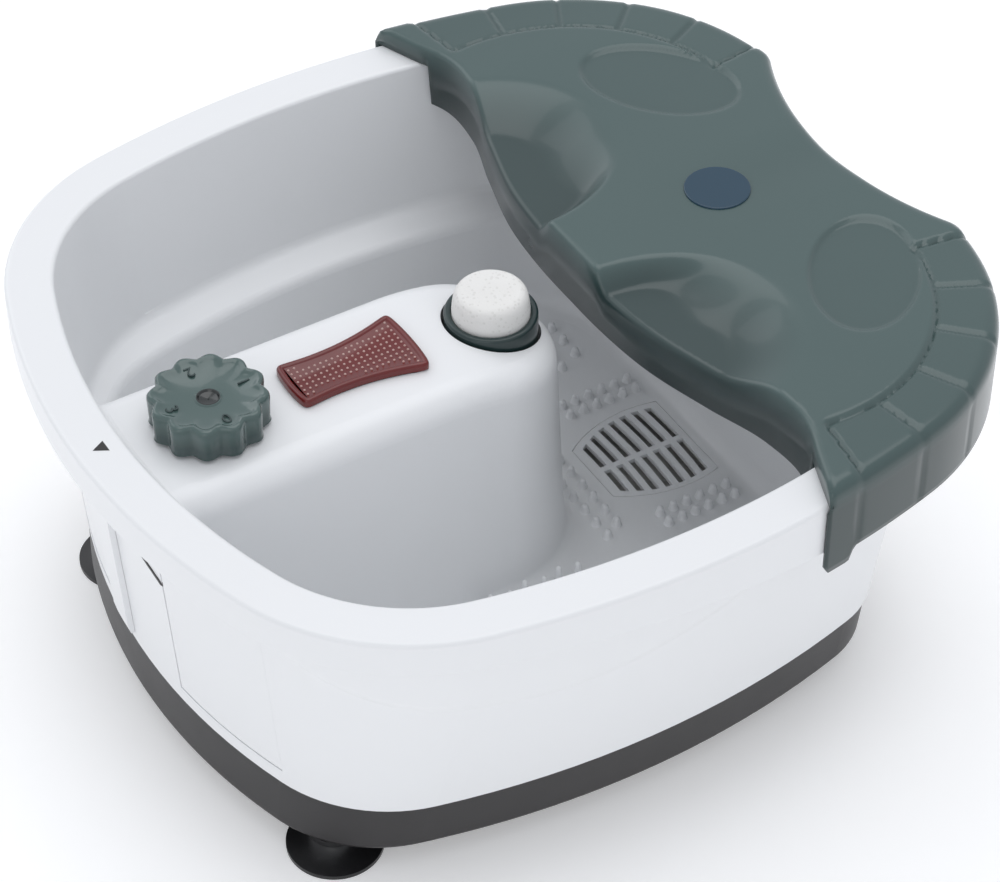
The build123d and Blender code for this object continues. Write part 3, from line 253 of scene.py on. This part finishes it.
finishes = {
    "white_plastic": white_plastic(),
    "dark_plastic": dark_plastic(),
    "green_plastic": green_plastic(),
    "blue_plastic": blue_plastic(),
    "red_plastic": red_plastic(),
    "black_rubber": rubber(),
    "pumice": pumice(),
    "nylon": moulded("nylon", (0.6, 0.6, 0.57), (0.54, 0.54, 0.51), 0.5).material,
    "steel": metal("steel", (0.62, 0.62, 0.62), 0.28),
    "aluminium": metal("aluminium", (0.8, 0.81, 0.82), 0.35),
    "circuit_board": circuit_board(),
    "lamp_glass": lamp_glass(),
    "clear_hose": moulded("clear_hose", (0.62, 0.64, 0.62), (0.55, 0.57, 0.55), 0.3).material,
    "wire_sleeve": moulded("wire_sleeve", (0.05, 0.05, 0.052), (0.035, 0.035, 0.037), 0.5).material,
}
finishes["dial_plastic"] = dial_plastic()
finishes["number_ink"] = moulded("number_ink", (0.035, 0.06, 0.058), (0.03, 0.05, 0.05), 0.3).material
finishes["window_dots"] = moulded("window_dots", (0.62, 0.42, 0.38), (0.5, 0.33, 0.3), 0.35).material
slot_of = {sub["node"]: sub["material_slot"] for sub in frame["record"]["subparts"]}
for name, node in nodes.items():
    node.data.materials.clear()
    node.data.materials.append(finishes[slot_of[name]])

# ---------------------------------------------------------------- mesh pieces


def piece(name, points, faces, body, material, smooth=35):
    """A mesh from points in millimetres, shaded smooth up to the given angle"""
    mesh = bpy.data.meshes.new(name)
    mesh.from_pydata([tuple(float(c) * mm for c in point) for point in points], [], faces)
    mesh.validate()
    shape = bmesh.new()
    shape.from_mesh(mesh)
    bmesh.ops.remove_doubles(shape, verts=shape.verts, dist=1e-6)
    bmesh.ops.recalc_face_normals(shape, faces=shape.faces)
    for edge in shape.edges:
        edge.smooth = edge.calc_face_angle(0.0) < radians(smooth)
    for face in shape.faces:
        face.smooth = True
    shape.to_mesh(mesh)
    shape.free()
    mesh.materials.append(material)
    thing = bpy.data.objects.new(name, mesh)
    bpy.context.collection.objects.link(thing)
    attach(thing, body)
    return thing


def grid_faces(rows, columns):
    """Quads between consecutive closed rows of equal length"""
    faces = []
    for row in range(rows - 1):
        low, high = row * columns, (row + 1) * columns
        faces += [(low + c, low + (c + 1) % columns, high + (c + 1) % columns, high + c) for c in range(columns)]
    return faces


def step(low, high, value):
    """0 below low, 1 above high, eased between"""
    t = np.clip((value - low) / (high - low), 0, 1)
    return t * t * (3 - 2 * t)


def arc(centre, radius, start, end, pitch=2.0):
    """Points along an arc, angles in radians"""
    count = max(2, int(abs(end - start) * radius / pitch) + 1)
    turns = np.linspace(start, end, count)
    return np.column_stack([centre[0] + radius * np.cos(turns), centre[1] + radius * np.sin(turns)])


def angle(centre, point):
    return atan2(point[1] - centre[1], point[0] - centre[0])


# ---- plan of the rim, millimetres: side arc, lobe arc, small tip arc, notch arc
side_radius, side_y, half_width = 496.0, -3.0, 200.0
lobe_radius, lobe_y = 120.0, 89.0
tip_radius = 10.0
notch_radius, notch_reach = 165.0, 189.0
side_centre = (half_width - side_radius, side_y)
spread = side_radius - lobe_radius
lobe_centre = (side_centre[0] + sqrt(spread**2 - (lobe_y - side_y) ** 2), lobe_y)
notch_centre = (0.0, notch_reach + notch_radius)


def circles_meet(first, first_radius, second, second_radius):
    """The meeting point of two circles on the right of the line between their centres"""
    dx, dy = second[0] - first[0], second[1] - first[1]
    gap = hypot(dx, dy)
    along = (first_radius**2 - second_radius**2 + gap**2) / (2 * gap)
    off = sqrt(first_radius**2 - along**2)
    return (first[0] + (along * dx + off * dy) / gap, first[1] + (along * dy - off * dx) / gap)


tip_reach = (lobe_radius - tip_radius, notch_radius + tip_radius)
tip_centre = circles_meet(lobe_centre, tip_reach[0], notch_centre, tip_reach[1])
if tip_centre[1] < lobe_y:
    tip_centre = circles_meet(notch_centre, tip_reach[1], lobe_centre, tip_reach[0])


def back_outline(grow, start_y):
    """Right half of the plan behind start_y, from the side to the middle of the notch"""
    start = atan2(start_y - side_y, sqrt((side_radius + grow) ** 2 - (start_y - side_y) ** 2))
    turn = angle(side_centre, lobe_centre)
    tip_turn = angle(lobe_centre, tip_centre)
    notch_turn = angle(tip_centre, notch_centre)
    notch_start = angle(notch_centre, tip_centre)
    return np.vstack(
        [
            arc(side_centre, side_radius + grow, start, turn)[:-1],
            arc(lobe_centre, lobe_radius + grow, turn, tip_turn)[:-1],
            arc(tip_centre, tip_radius + grow, tip_turn, notch_turn, 1.2)[:-1],
            arc(notch_centre, notch_radius - grow, notch_start, -pi / 2),
        ]
    )


def both_sides(points):
    """A right-hand run that ends on the middle plane, continued on the left"""
    return np.vstack([points, (points[:-1] * (-1, 1))[::-1]])


# ---- lip of the guard: a smooth curve through these places, right half
lip_x = np.array([0, 24.5, 61, 97, 130, 158, 174, 204])
lip_y = np.array([44.5, 44.8, 48.5, 58, 68, 68.5, 62, 50.5])


def lip(x):
    """Front edge of the guard: a cubic through the lip places with natural slopes"""
    x = np.abs(x)
    slopes = np.gradient(lip_y, lip_x)
    slopes[0] = 0
    i = np.clip(np.searchsorted(lip_x, x) - 1, 0, len(lip_x) - 2)
    width = lip_x[i + 1] - lip_x[i]
    t = (x - lip_x[i]) / width
    return (
        (2 * t**3 - 3 * t**2 + 1) * lip_y[i]
        + (t**3 - 2 * t**2 + t) * width * slopes[i]
        + (3 * t**2 - 2 * t**3) * lip_y[i + 1]
        + (t**3 - t**2) * width * slopes[i + 1]
    )


def nearest(points, line):
    """Distance of each point from a densely sampled line"""
    best = np.full(len(points), 1e9)
    for a, b in zip(line[:-1], line[1:]):
        along = b - a
        t = np.clip(((points - a) @ along) / (along @ along), 0, 1)
        best = np.minimum(best, np.hypot(*(points - a - t[:, None] * along).T))
    return best


def inside(points, loop):
    """Even-odd test of points against a closed line"""
    hit = np.zeros(len(points), bool)
    for (ax, ay), (bx, by) in zip(loop, np.roll(loop, -1, axis=0)):
        if ay != by:
            crosses = (ay > points[:, 1]) != (by > points[:, 1])
            hit ^= crosses & (points[:, 0] < (bx - ax) * (points[:, 1] - ay) / (by - ay) + ax)
    return hit


guard_top = 198.5
tile_inner = lobe_radius - 27
tile_lines = np.radians(np.linspace(-8, 81.5, 6))


def tile_groove(x, y):
    """1 in the joints between the tiles and along their inner edge, 0 elsewhere; and 1 over the tiles"""
    dx, dy = np.abs(x) - lobe_centre[0], y - lobe_centre[1]
    reach, turn = np.hypot(dx, dy), np.arctan2(dy, dx)
    over = (turn > tile_lines[0]) & (turn < tile_lines[-1])
    joint = np.min(np.abs(turn[:, None] - tile_lines), axis=1) * reach
    band = step(tile_inner - 0.6, tile_inner + 0.6, reach) * over
    ring = (1 - step(0.4, 2.2, np.abs(reach - tile_inner))) * over
    cut = (1 - step(0.4, 2.1, joint)) * step(tile_inner - 1, tile_inner + 1, reach)
    return np.maximum(ring, cut), band


def guard_height(points, edge_gap, lip_gap):
    """Height of the guard's upper face"""
    x, y = points.T
    side = np.abs(x)
    bowl = np.hypot((side - 80) / 61, (y - 42) / 72)
    near_nose = step(70, 30, side) * 0.4
    well = 1 - step(0.42 + near_nose, 1.0, bowl)
    turn = radians(141)
    along = (side - 86.5) * cos(turn) + (y - 150.5) * sin(turn)
    across = -(side - 86.5) * sin(turn) + (y - 150.5) * cos(turn)
    oval = np.hypot(along / 42.5, across / 27.0)
    dish = 1 - step(0.9, 1.0, oval)
    groove, band = tile_groove(x, y)
    sag = 0.9 * step(130, 175, side) + 0.8 * step(30, 0, side) * step(60, 190, y)
    height = guard_top - sag - 10.3 * well - 2.0 * dish - 1.3 * band - 1.1 * groove
    edge_round, lip_round = 7.0, 2.6
    near = np.clip(edge_round - edge_gap, 0, edge_round)
    height -= edge_round - np.sqrt(edge_round**2 - near**2)
    near = np.clip(lip_round - lip_gap, 0, lip_round)
    return height - (lip_round - np.sqrt(lip_round**2 - near**2))


guard_grow, guard_wall = 2.2, 1.65
skirt_low, tab_drop, curtain_low, flange_low, curtain_half = 155.5, 7.5, 164.8, 187.4, 166
edge_rings, lip_rings = (0.5, 1.4, 2.8, 4.6, 6.9), (0.4, 1.1, 2.6)
mesh_pitch = 1.35
lip_samples = 241


def side_x(y):
    """Half width of the guard at y on the side arc"""
    return side_centre[0] + sqrt((side_radius + guard_grow) ** 2 - (y - side_y) ** 2)


def guard_corner():
    """Where the lip meets the side of the guard"""
    y = 52.0
    while abs(float(lip(np.array(side_x(y)))) - y) > 0.01:
        y += 0.5 * (float(lip(np.array(side_x(y)))) - y)
    return y


def guard_piece():
    """The toe guard: its upper face on a fine net, a skirt round the rim and a curtain under the lip"""
    corner_y = guard_corner()
    outer = both_sides(back_outline(guard_grow, corner_y))
    fine = np.linspace(outer[0][0], -outer[0][0], lip_samples)
    front_line = np.column_stack([fine, lip(fine)])
    front = front_line[1:-1][::-1]
    loop = np.vstack([outer, front])
    rings = []
    for inset in edge_rings:
        ring = both_sides(back_outline(guard_grow - inset, corner_y - 8))
        rings.append(ring[nearest(ring, front_line) > 0.7])
    for inset in lip_rings:
        ring = np.column_stack([fine, lip(fine) + inset])[1:-1]
        rings.append(ring[nearest(ring, outer) > 7.2])
    xs, ys = np.meshgrid(np.arange(-199, 199, mesh_pitch), np.arange(46, 212, mesh_pitch))
    net = np.column_stack([xs.ravel(), ys.ravel()])
    net = net[inside(net, loop) & (nearest(net, outer) > 7.8) & (nearest(net, front_line) > 3.4)]
    flat = np.vstack([loop, *(ring[inside(ring, loop)] for ring in rings), net])
    border = [(i, (i + 1) % len(loop)) for i in range(len(loop))]
    made = delaunay_2d_cdt([Vector((float(x), float(y))) for x, y in flat], border, [], 1, 1e-5)
    places = np.array([tuple(v) for v in made[0]])
    first = {}
    for new, olds in enumerate(made[3]):
        for old in olds:
            first[old] = new
    height = guard_height(places, nearest(places, outer), nearest(places, front_line))
    vertices = [(x, y, z) for (x, y), z in zip(places, height)]
    faces = [tuple(face) for face in made[2]]
    groove, _ = tile_groove(outer[:, 0], outer[:, 1])
    inwards = np.array([0.0, 110.0]) - outer
    inwards /= np.hypot(*inwards.T)[:, None]
    tab = step(70, 66, outer[:, 1]) * step(corner_y - 1, corner_y + 1, outer[:, 1])

    def fall(above, edge, lows, falls, shifts):
        """Rows of points that fall from an upper row to the given heights"""
        tops = [vertices[i][2] for i in above]
        for share, shift in zip(falls, shifts):
            row = list(range(len(vertices), len(vertices) + len(edge)))
            for (x, y), (dx, dy), top, low in zip(edge, shift, tops, lows):
                vertices.append((x + dx, y + dy, top + (low - top) * share))
            faces.extend((above[i], row[i], row[i + 1], above[i + 1]) for i in range(len(edge) - 1))
            above = row

    cut = inwards * 0.8 * groove[:, None]
    still = np.zeros_like(outer)
    skirt = [first[i] for i in range(len(outer))]
    fall(skirt, outer, skirt_low - tab_drop * tab, (0.12, 0.5, 0.93, 1.0), (cut, cut, cut, still))
    lip_row = [first[len(outer) - 1], *(first[len(outer) + i] for i in range(len(front))), first[0]]
    lip_edge = np.vstack([outer[-1], front, outer[0]])
    lows = np.where(np.abs(lip_edge[:, 0]) < curtain_half, curtain_low, flange_low)
    still = np.zeros_like(lip_edge)
    fall(lip_row, lip_edge, lows, (0.3, 1.0), (still, still))
    guard = piece("toe_guard", vertices, faces, "guard", finishes["green_plastic"], 50)
    shell = guard.modifiers.new("wall", "SOLIDIFY")
    shell.thickness = guard_wall * mm
    shell.offset = -1.0
    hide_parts("splash_guard", "guard_tiles")
    return guard


def dial_piece():
    """Lobed dial with a dished top and a small hub"""
    foot, top, columns = 178.6, 194.8, 288
    turns = np.linspace(0, 2 * pi, columns, endpoint=False)
    lobes = 24.7 + 2.9 * (0.5 + 0.5 * np.cos(12 * turns)) ** 0.75
    rows = []

    def ring(reach, height):
        """One level of the dial, at a reach that may differ round it"""
        rows.append(np.column_stack([reach * np.cos(turns), reach * np.sin(turns), np.full(columns, height)]))

    for share, height, inset in (
        (1.0, foot, 0),
        (1.0, foot + 1.2, 0.5),
        (1.0, top - 3.2, 0),
        (0.992, top - 1.4, 0),
        (0.965, top - 0.4, 0),
        (0.93, top, 0),
        (0.89, top - 0.25, 0),
        (0.85, top - 0.9, 0),
        (0.8, top - 1.5, 0),
    ):
        ring(lobes * share - inset, height)
    dish = ((19, 2.0), (14, 2.7), (9, 3.1), (6.4, 3.2))
    hub = ((5.7, 2.6), (4.9, 2.6), (4.3, 3.4), (2.0, 3.9), (0.3, 4.0))
    for reach, drop in dish + hub:
        ring(reach, top - drop)
    vertices = np.vstack(rows) + (0, dial_y / mm, 0)
    faces = grid_faces(len(rows), columns) + [tuple(range(columns))[::-1]]
    faces.append(tuple((len(rows) - 1) * columns + c for c in range(columns)))
    dial = piece("dial", vertices, faces, "dial", finishes["dial_plastic"], 40)
    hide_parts("control_knob")
    return dial


def dial_number(digit, turn):
    """A raised number on the dial, read from the middle outwards"""
    curve = bpy.data.curves.new(f"number_{digit}", "FONT")
    curve.body = str(digit)
    curve.align_x, curve.align_y = "CENTER", "CENTER"
    curve.size = 8.5 * mm
    curve.extrude = 0.35 * mm
    curve.resolution_u = 6
    text = bpy.data.objects.new("text", curve)
    bpy.context.collection.objects.link(text)
    bpy.context.view_layer.update()
    mesh = bpy.data.meshes.new_from_object(text.evaluated_get(bpy.context.evaluated_depsgraph_get()))
    bpy.data.objects.remove(text)
    spot = Vector((18.2 * cos(turn) * mm, 18.2 * sin(turn) * mm + dial_y, 193.05 * mm))
    mesh.transform(Matrix.Translation(spot) @ Matrix.Rotation(turn + pi / 2, 4, "Z"))
    mesh.materials.clear()
    mesh.materials.append(finishes["number_ink"])
    number = bpy.data.objects.new(f"dial_number_{digit}", mesh)
    bpy.context.collection.objects.link(number)
    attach(number, "dial")


def smoothed(line, rounds):
    """A closed line with its corners eased by repeated averaging"""
    for _ in range(rounds):
        line = 0.5 * line + 0.25 * (np.roll(line, 1, axis=0) + np.roll(line, -1, axis=0))
    return line


def inset_line(line, inset):
    """A closed anticlockwise line moved inwards"""
    ahead = np.roll(line, -1, axis=0) - np.roll(line, 1, axis=0)
    ahead /= np.hypot(*ahead.T)[:, None]
    return line + inset * np.column_stack([-ahead[:, 1], ahead[:, 0]])


lens_y, lens_length = -74.0, 65.6
lens_front_half, lens_waist_half, lens_back_half = 15.5, 14.2, 21.5


def lens_outline():
    """Waisted plan of the infrared window with rounded corners, anticlockwise"""
    front, back = lens_y - lens_length / 2, lens_y + lens_length / 2
    ys = np.linspace(front + 1.5, back - 1.5, 60)
    t = (ys - ys[0]) / (ys[-1] - ys[0])
    half = (1 - t) * (1 - 2 * t) * lens_front_half + 4 * t * (1 - t) * lens_waist_half
    half += t * (2 * t - 1) * lens_back_half
    right = np.column_stack([half, ys])
    xs = np.linspace(-1, 1, 34)[1:-1]
    front_end = np.column_stack([xs * half[0], front + 1.5 * xs**2])
    back_end = np.column_stack([-xs * half[-1], back - 1.5 * xs**2])
    return smoothed(np.vstack([front_end, right, back_end, (right * (-1, 1))[::-1]]), 14)


def lens_pieces(top):
    """Infrared window with a rounded border, and the pale dots moulded over its field"""
    line = lens_outline()
    rows = []
    for inset, rise in ((0.3, -3.2), (0.3, -0.6), (0.7, 0.3), (1.6, 0.8), (2.6, 0.6), (3.3, -0.1), (3.6, -0.3)):
        rows.append(np.column_stack([inset_line(line, inset), np.full(len(line), top + rise)]))
    columns = len(line)
    faces = grid_faces(len(rows), columns)
    for row in (0, len(rows) - 1):
        flat = [Vector((x, y, 0)) for x, y, _ in rows[row]]
        faces += [tuple(row * columns + c for c in cap) for cap in tessellate_polygon([flat])]
    window = piece("window", np.vstack(rows), faces, "basin", finishes["red_plastic"], 50)
    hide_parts("infrared_lens")
    vertices, faces = [], []
    field = inset_line(line, 5.0)
    xs, ys = np.meshgrid((np.arange(11) - 5) * 3.1, lens_y + (np.arange(19) - 9) * 3.0)
    spots = np.column_stack([xs.ravel(), ys.ravel()])
    for x, y in spots[inside(spots, field)]:
        start = len(vertices)
        for radius, rise in ((0.62, -0.28), (0.5, 0.05), (0.22, 0.2)):
            turns = np.linspace(0, 2 * pi, 8, endpoint=False)
            vertices += [(x + radius * cos(a), y + radius * sin(a), top + rise) for a in turns]
        faces += [tuple(start + v for v in face) for face in grid_faces(3, 8)]
        faces += [tuple(start + 16 + c for c in range(8)), tuple(start + c for c in range(8))[::-1]]
    piece("window_dots", vertices, faces, "basin", finishes["window_dots"], 60)


shell_skin = BVHTree.FromPolygons(
    [v.co.copy() for v in nodes["outer_shell"].data.vertices],
    [tuple(p.vertices) for p in nodes["outer_shell"].data.polygons],
)


def on_shell(turn, height, proud):
    """The place on the outside of the shell in plan direction turn, moved outwards by proud"""
    out = Vector((cos(turn), sin(turn), 0))
    hit = shell_skin.ray_cast(out * 0.5 + Vector((0, 0, height * mm)), -out)[0]
    return hit / mm + out * proud


def shell_strip(name, turns, lows, highs, proud, finish, rows, side=1):
    """A closed band lying on the shell between two heights, its long edges eased"""
    under, ease = 0.12, 1.5
    steps = range(rows)
    vertices = []
    for turn, low, high in zip(turns, lows, highs):
        rise = (high - low) / (rows - 1)
        lifts = [proud * min(1.0, 0.7 + min(k, rows - 1 - k) * rise / ease) for k in steps]
        section = [(k, lifts[k]) for k in steps] + [(k, under) for k in reversed(steps)]
        for k, lift in section:
            x, y, z = on_shell(turn, low + (high - low) * (k / (rows - 1)), lift)
            vertices.append((side * x, y, z))
    around = 2 * rows
    last = (len(turns) - 1) * around
    faces = grid_faces(len(turns), around)
    faces += [tuple(range(around))[::-1], tuple(last + c for c in range(around))]
    return piece(name, vertices, faces, "basin", finishes[finish], 40)


def shell_bands():
    """The stepped belt that sweeps round each side, a dark strip painted as the shadow in the finger gap, and
    the pilaster on the front
    """
    t = np.linspace(0, 1, 150)
    turns = radians(-64.0) + t * radians(83.0)
    belt_low = 167 - 8 * t - 46 * np.sin(pi * t) ** 0.8
    belt_high = np.full(len(t), 174.0)
    for side, name in ((1, "right"), (-1, "left")):
        shell_strip(f"belt_{name}", turns, belt_low, belt_high, 3.2, "white_plastic", 14, side)
    # painted shadow: a thin dark strip laid on the front of the shell where the finger gap's shadow falls
    gap_turns = np.arctan2(-190.0, np.linspace(7, 46, 40))
    gap_middle = np.linspace(134.0, 119.0, len(gap_turns))
    shell_strip("finger_gap_shadow", gap_turns, gap_middle - 1.3, gap_middle + 1.3, 0.5, "dark_plastic", 6)
    post_turns = np.arctan2(-188.0, np.linspace(-30, -13, 16))
    shell_strip("pilaster", post_turns, np.full(16, 52.0), np.full(16, 172.0), 3.0, "white_plastic", 20)


def nub_pieces(floor):
    """Rounded massage nubs and taller fingers on the floor of the tub"""
    nubs, pitch = [], 11.5
    for row in range(-9, 10):
        for column in range(-3, 4):
            x, y = (column + 0.5 * (row % 2)) * pitch, row * pitch
            if (x / 34) ** 2 + (y / 100) ** 2 < 1:
                nubs += [(side * (92 + x), 8 + y, 4.8) for side in (-1, 1)]
    for row in range(6):
        nubs += [(side * x, 73 + row * 7.8, 4.8) for side in (-1, 1) for x in (41.5, 49.5)]
        nubs += [(side * (57.5 + 2.5 * (row % 2)), -34 + row * 9.5, 13.0) for side in (-1, 1)]
    for row in range(2):
        nubs += [(column * 10.5 + 5.2 * (row % 2), 42 + row * 8.5, 4.8) for column in range(-5, 5 - row)]
    turns = np.linspace(0, 2 * pi, 14, endpoint=False)
    vertices, faces = [], []
    for x, y, tall in nubs:
        start = len(vertices)
        for radius, share in ((2.9, -0.04), (2.3, 0.1), (1.75, 0.7), (1.55, 0.86), (1.0, 0.97), (0.3, 1.0)):
            vertices += [(x + radius * cos(a), y + radius * sin(a), floor + tall * share) for a in turns]
        faces += [tuple(start + v for v in face) for face in grid_faces(6, len(turns))]
        last = start + 5 * len(turns)
        around = range(len(turns))
        faces += [tuple(last + c for c in around), tuple(start + c for c in around)[::-1]]
    nub_field = piece("nub_field", vertices, faces, "basin", finishes["white_plastic"], 60)
    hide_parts("massage_nubs")


def pointer_mark(top):
    """Printed black triangle on the rim in front of the dial"""
    vertices = [(-3.6, -197, top), (3.6, -197, top), (0, -203.5, top)]
    vertices += [(x, y, top + 0.12) for x, y, _ in vertices]
    faces = [(2, 1, 0), (3, 4, 5), (0, 1, 4, 3), (1, 2, 5, 4), (2, 0, 3, 5)]
    piece("pointer_mark", vertices, faces, "basin", finishes["dark_plastic"], 30)


guard_piece()
dial_piece()
for digit, turn in enumerate((0, pi / 2, pi, -pi / 2)):
    dial_number(digit, turn)
lens_pieces(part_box("infrared_lens")[1][2] / mm)
shell_bands()
nub_pieces(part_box("massage_nubs")[0][2] / mm)
pointer_mark(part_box("inner_tub")[1][2] / mm + 0.02)


# ---------------------------------------------------------------- stage, camera, light


def stage_floor():
    mesh = bpy.data.meshes.new("floor")
    reach = 6.0
    corners = [(x * reach, y * reach, 0) for x, y in ((-1, -1), (1, -1), (1, 1), (-1, 1))]
    mesh.from_pydata(corners, [], [(0, 1, 2, 3)])
    floor = bpy.data.objects.new("floor", mesh)
    bpy.context.collection.objects.link(floor)
    finish = Finish("floor", Roughness=0.7, Emission_Color=(1, 1, 1, 1), Emission_Strength=0.25)
    finish.drive("Base Color", finish.mix(finish.noise(3.0), (0.86, 0.86, 0.86, 1), (0.9, 0.9, 0.9, 1)))
    mesh.materials.append(finish.material)


def camera():
    azimuth, elevation, distance = radians(58.88), radians(42.86), 1.4843
    target = Vector((87.2, -46.7, 187.0)) * mm
    back = Vector((sin(azimuth) * cos(elevation), -cos(azimuth) * cos(elevation), sin(elevation)))
    data = bpy.data.cameras.new("camera")
    data.lens = 121.0
    data.sensor_width = 36.0
    eye = bpy.data.objects.new("camera", data)
    bpy.context.collection.objects.link(eye)
    eye.location = target + back * distance
    eye.rotation_euler = (-back).to_track_quat("-Z", "Y").to_euler()
    bpy.context.scene.camera = eye


def lamp(name, place, aim, size, power, colour=(1, 1, 1)):
    data = bpy.data.lights.new(name, "AREA")
    data.shape = "RECTANGLE"
    data.size, data.size_y = size
    data.energy = power
    data.color = colour
    light = bpy.data.objects.new(name, data)
    bpy.context.collection.objects.link(light)
    light.location = place
    light.rotation_euler = (Vector(aim) - Vector(place)).to_track_quat("-Z", "Y").to_euler()


def studio():
    middle = (0, 0, 0.1)
    lamp("overhead", (-0.2, 0.3, 1.9), middle, (1.6, 1.6), 9.5)
    lamp("window", (-1.6, -0.4, 1.3), middle, (1.2, 1.4), 4.5, (0.96, 0.98, 1.0))
    lamp("fill", (1.4, -1.6, 1.2), middle, (1.4, 1.2), 3.5)
    world = bpy.data.worlds.new("studio")
    world.use_nodes = True
    world.node_tree.nodes["Background"].inputs["Color"].default_value = (0.93, 0.95, 1.0, 1)
    world.node_tree.nodes["Background"].inputs["Strength"].default_value = 0.70
    bpy.context.scene.world = world
    bpy.context.scene.view_settings.view_transform = "Standard"


stage_floor()
camera()
studio()
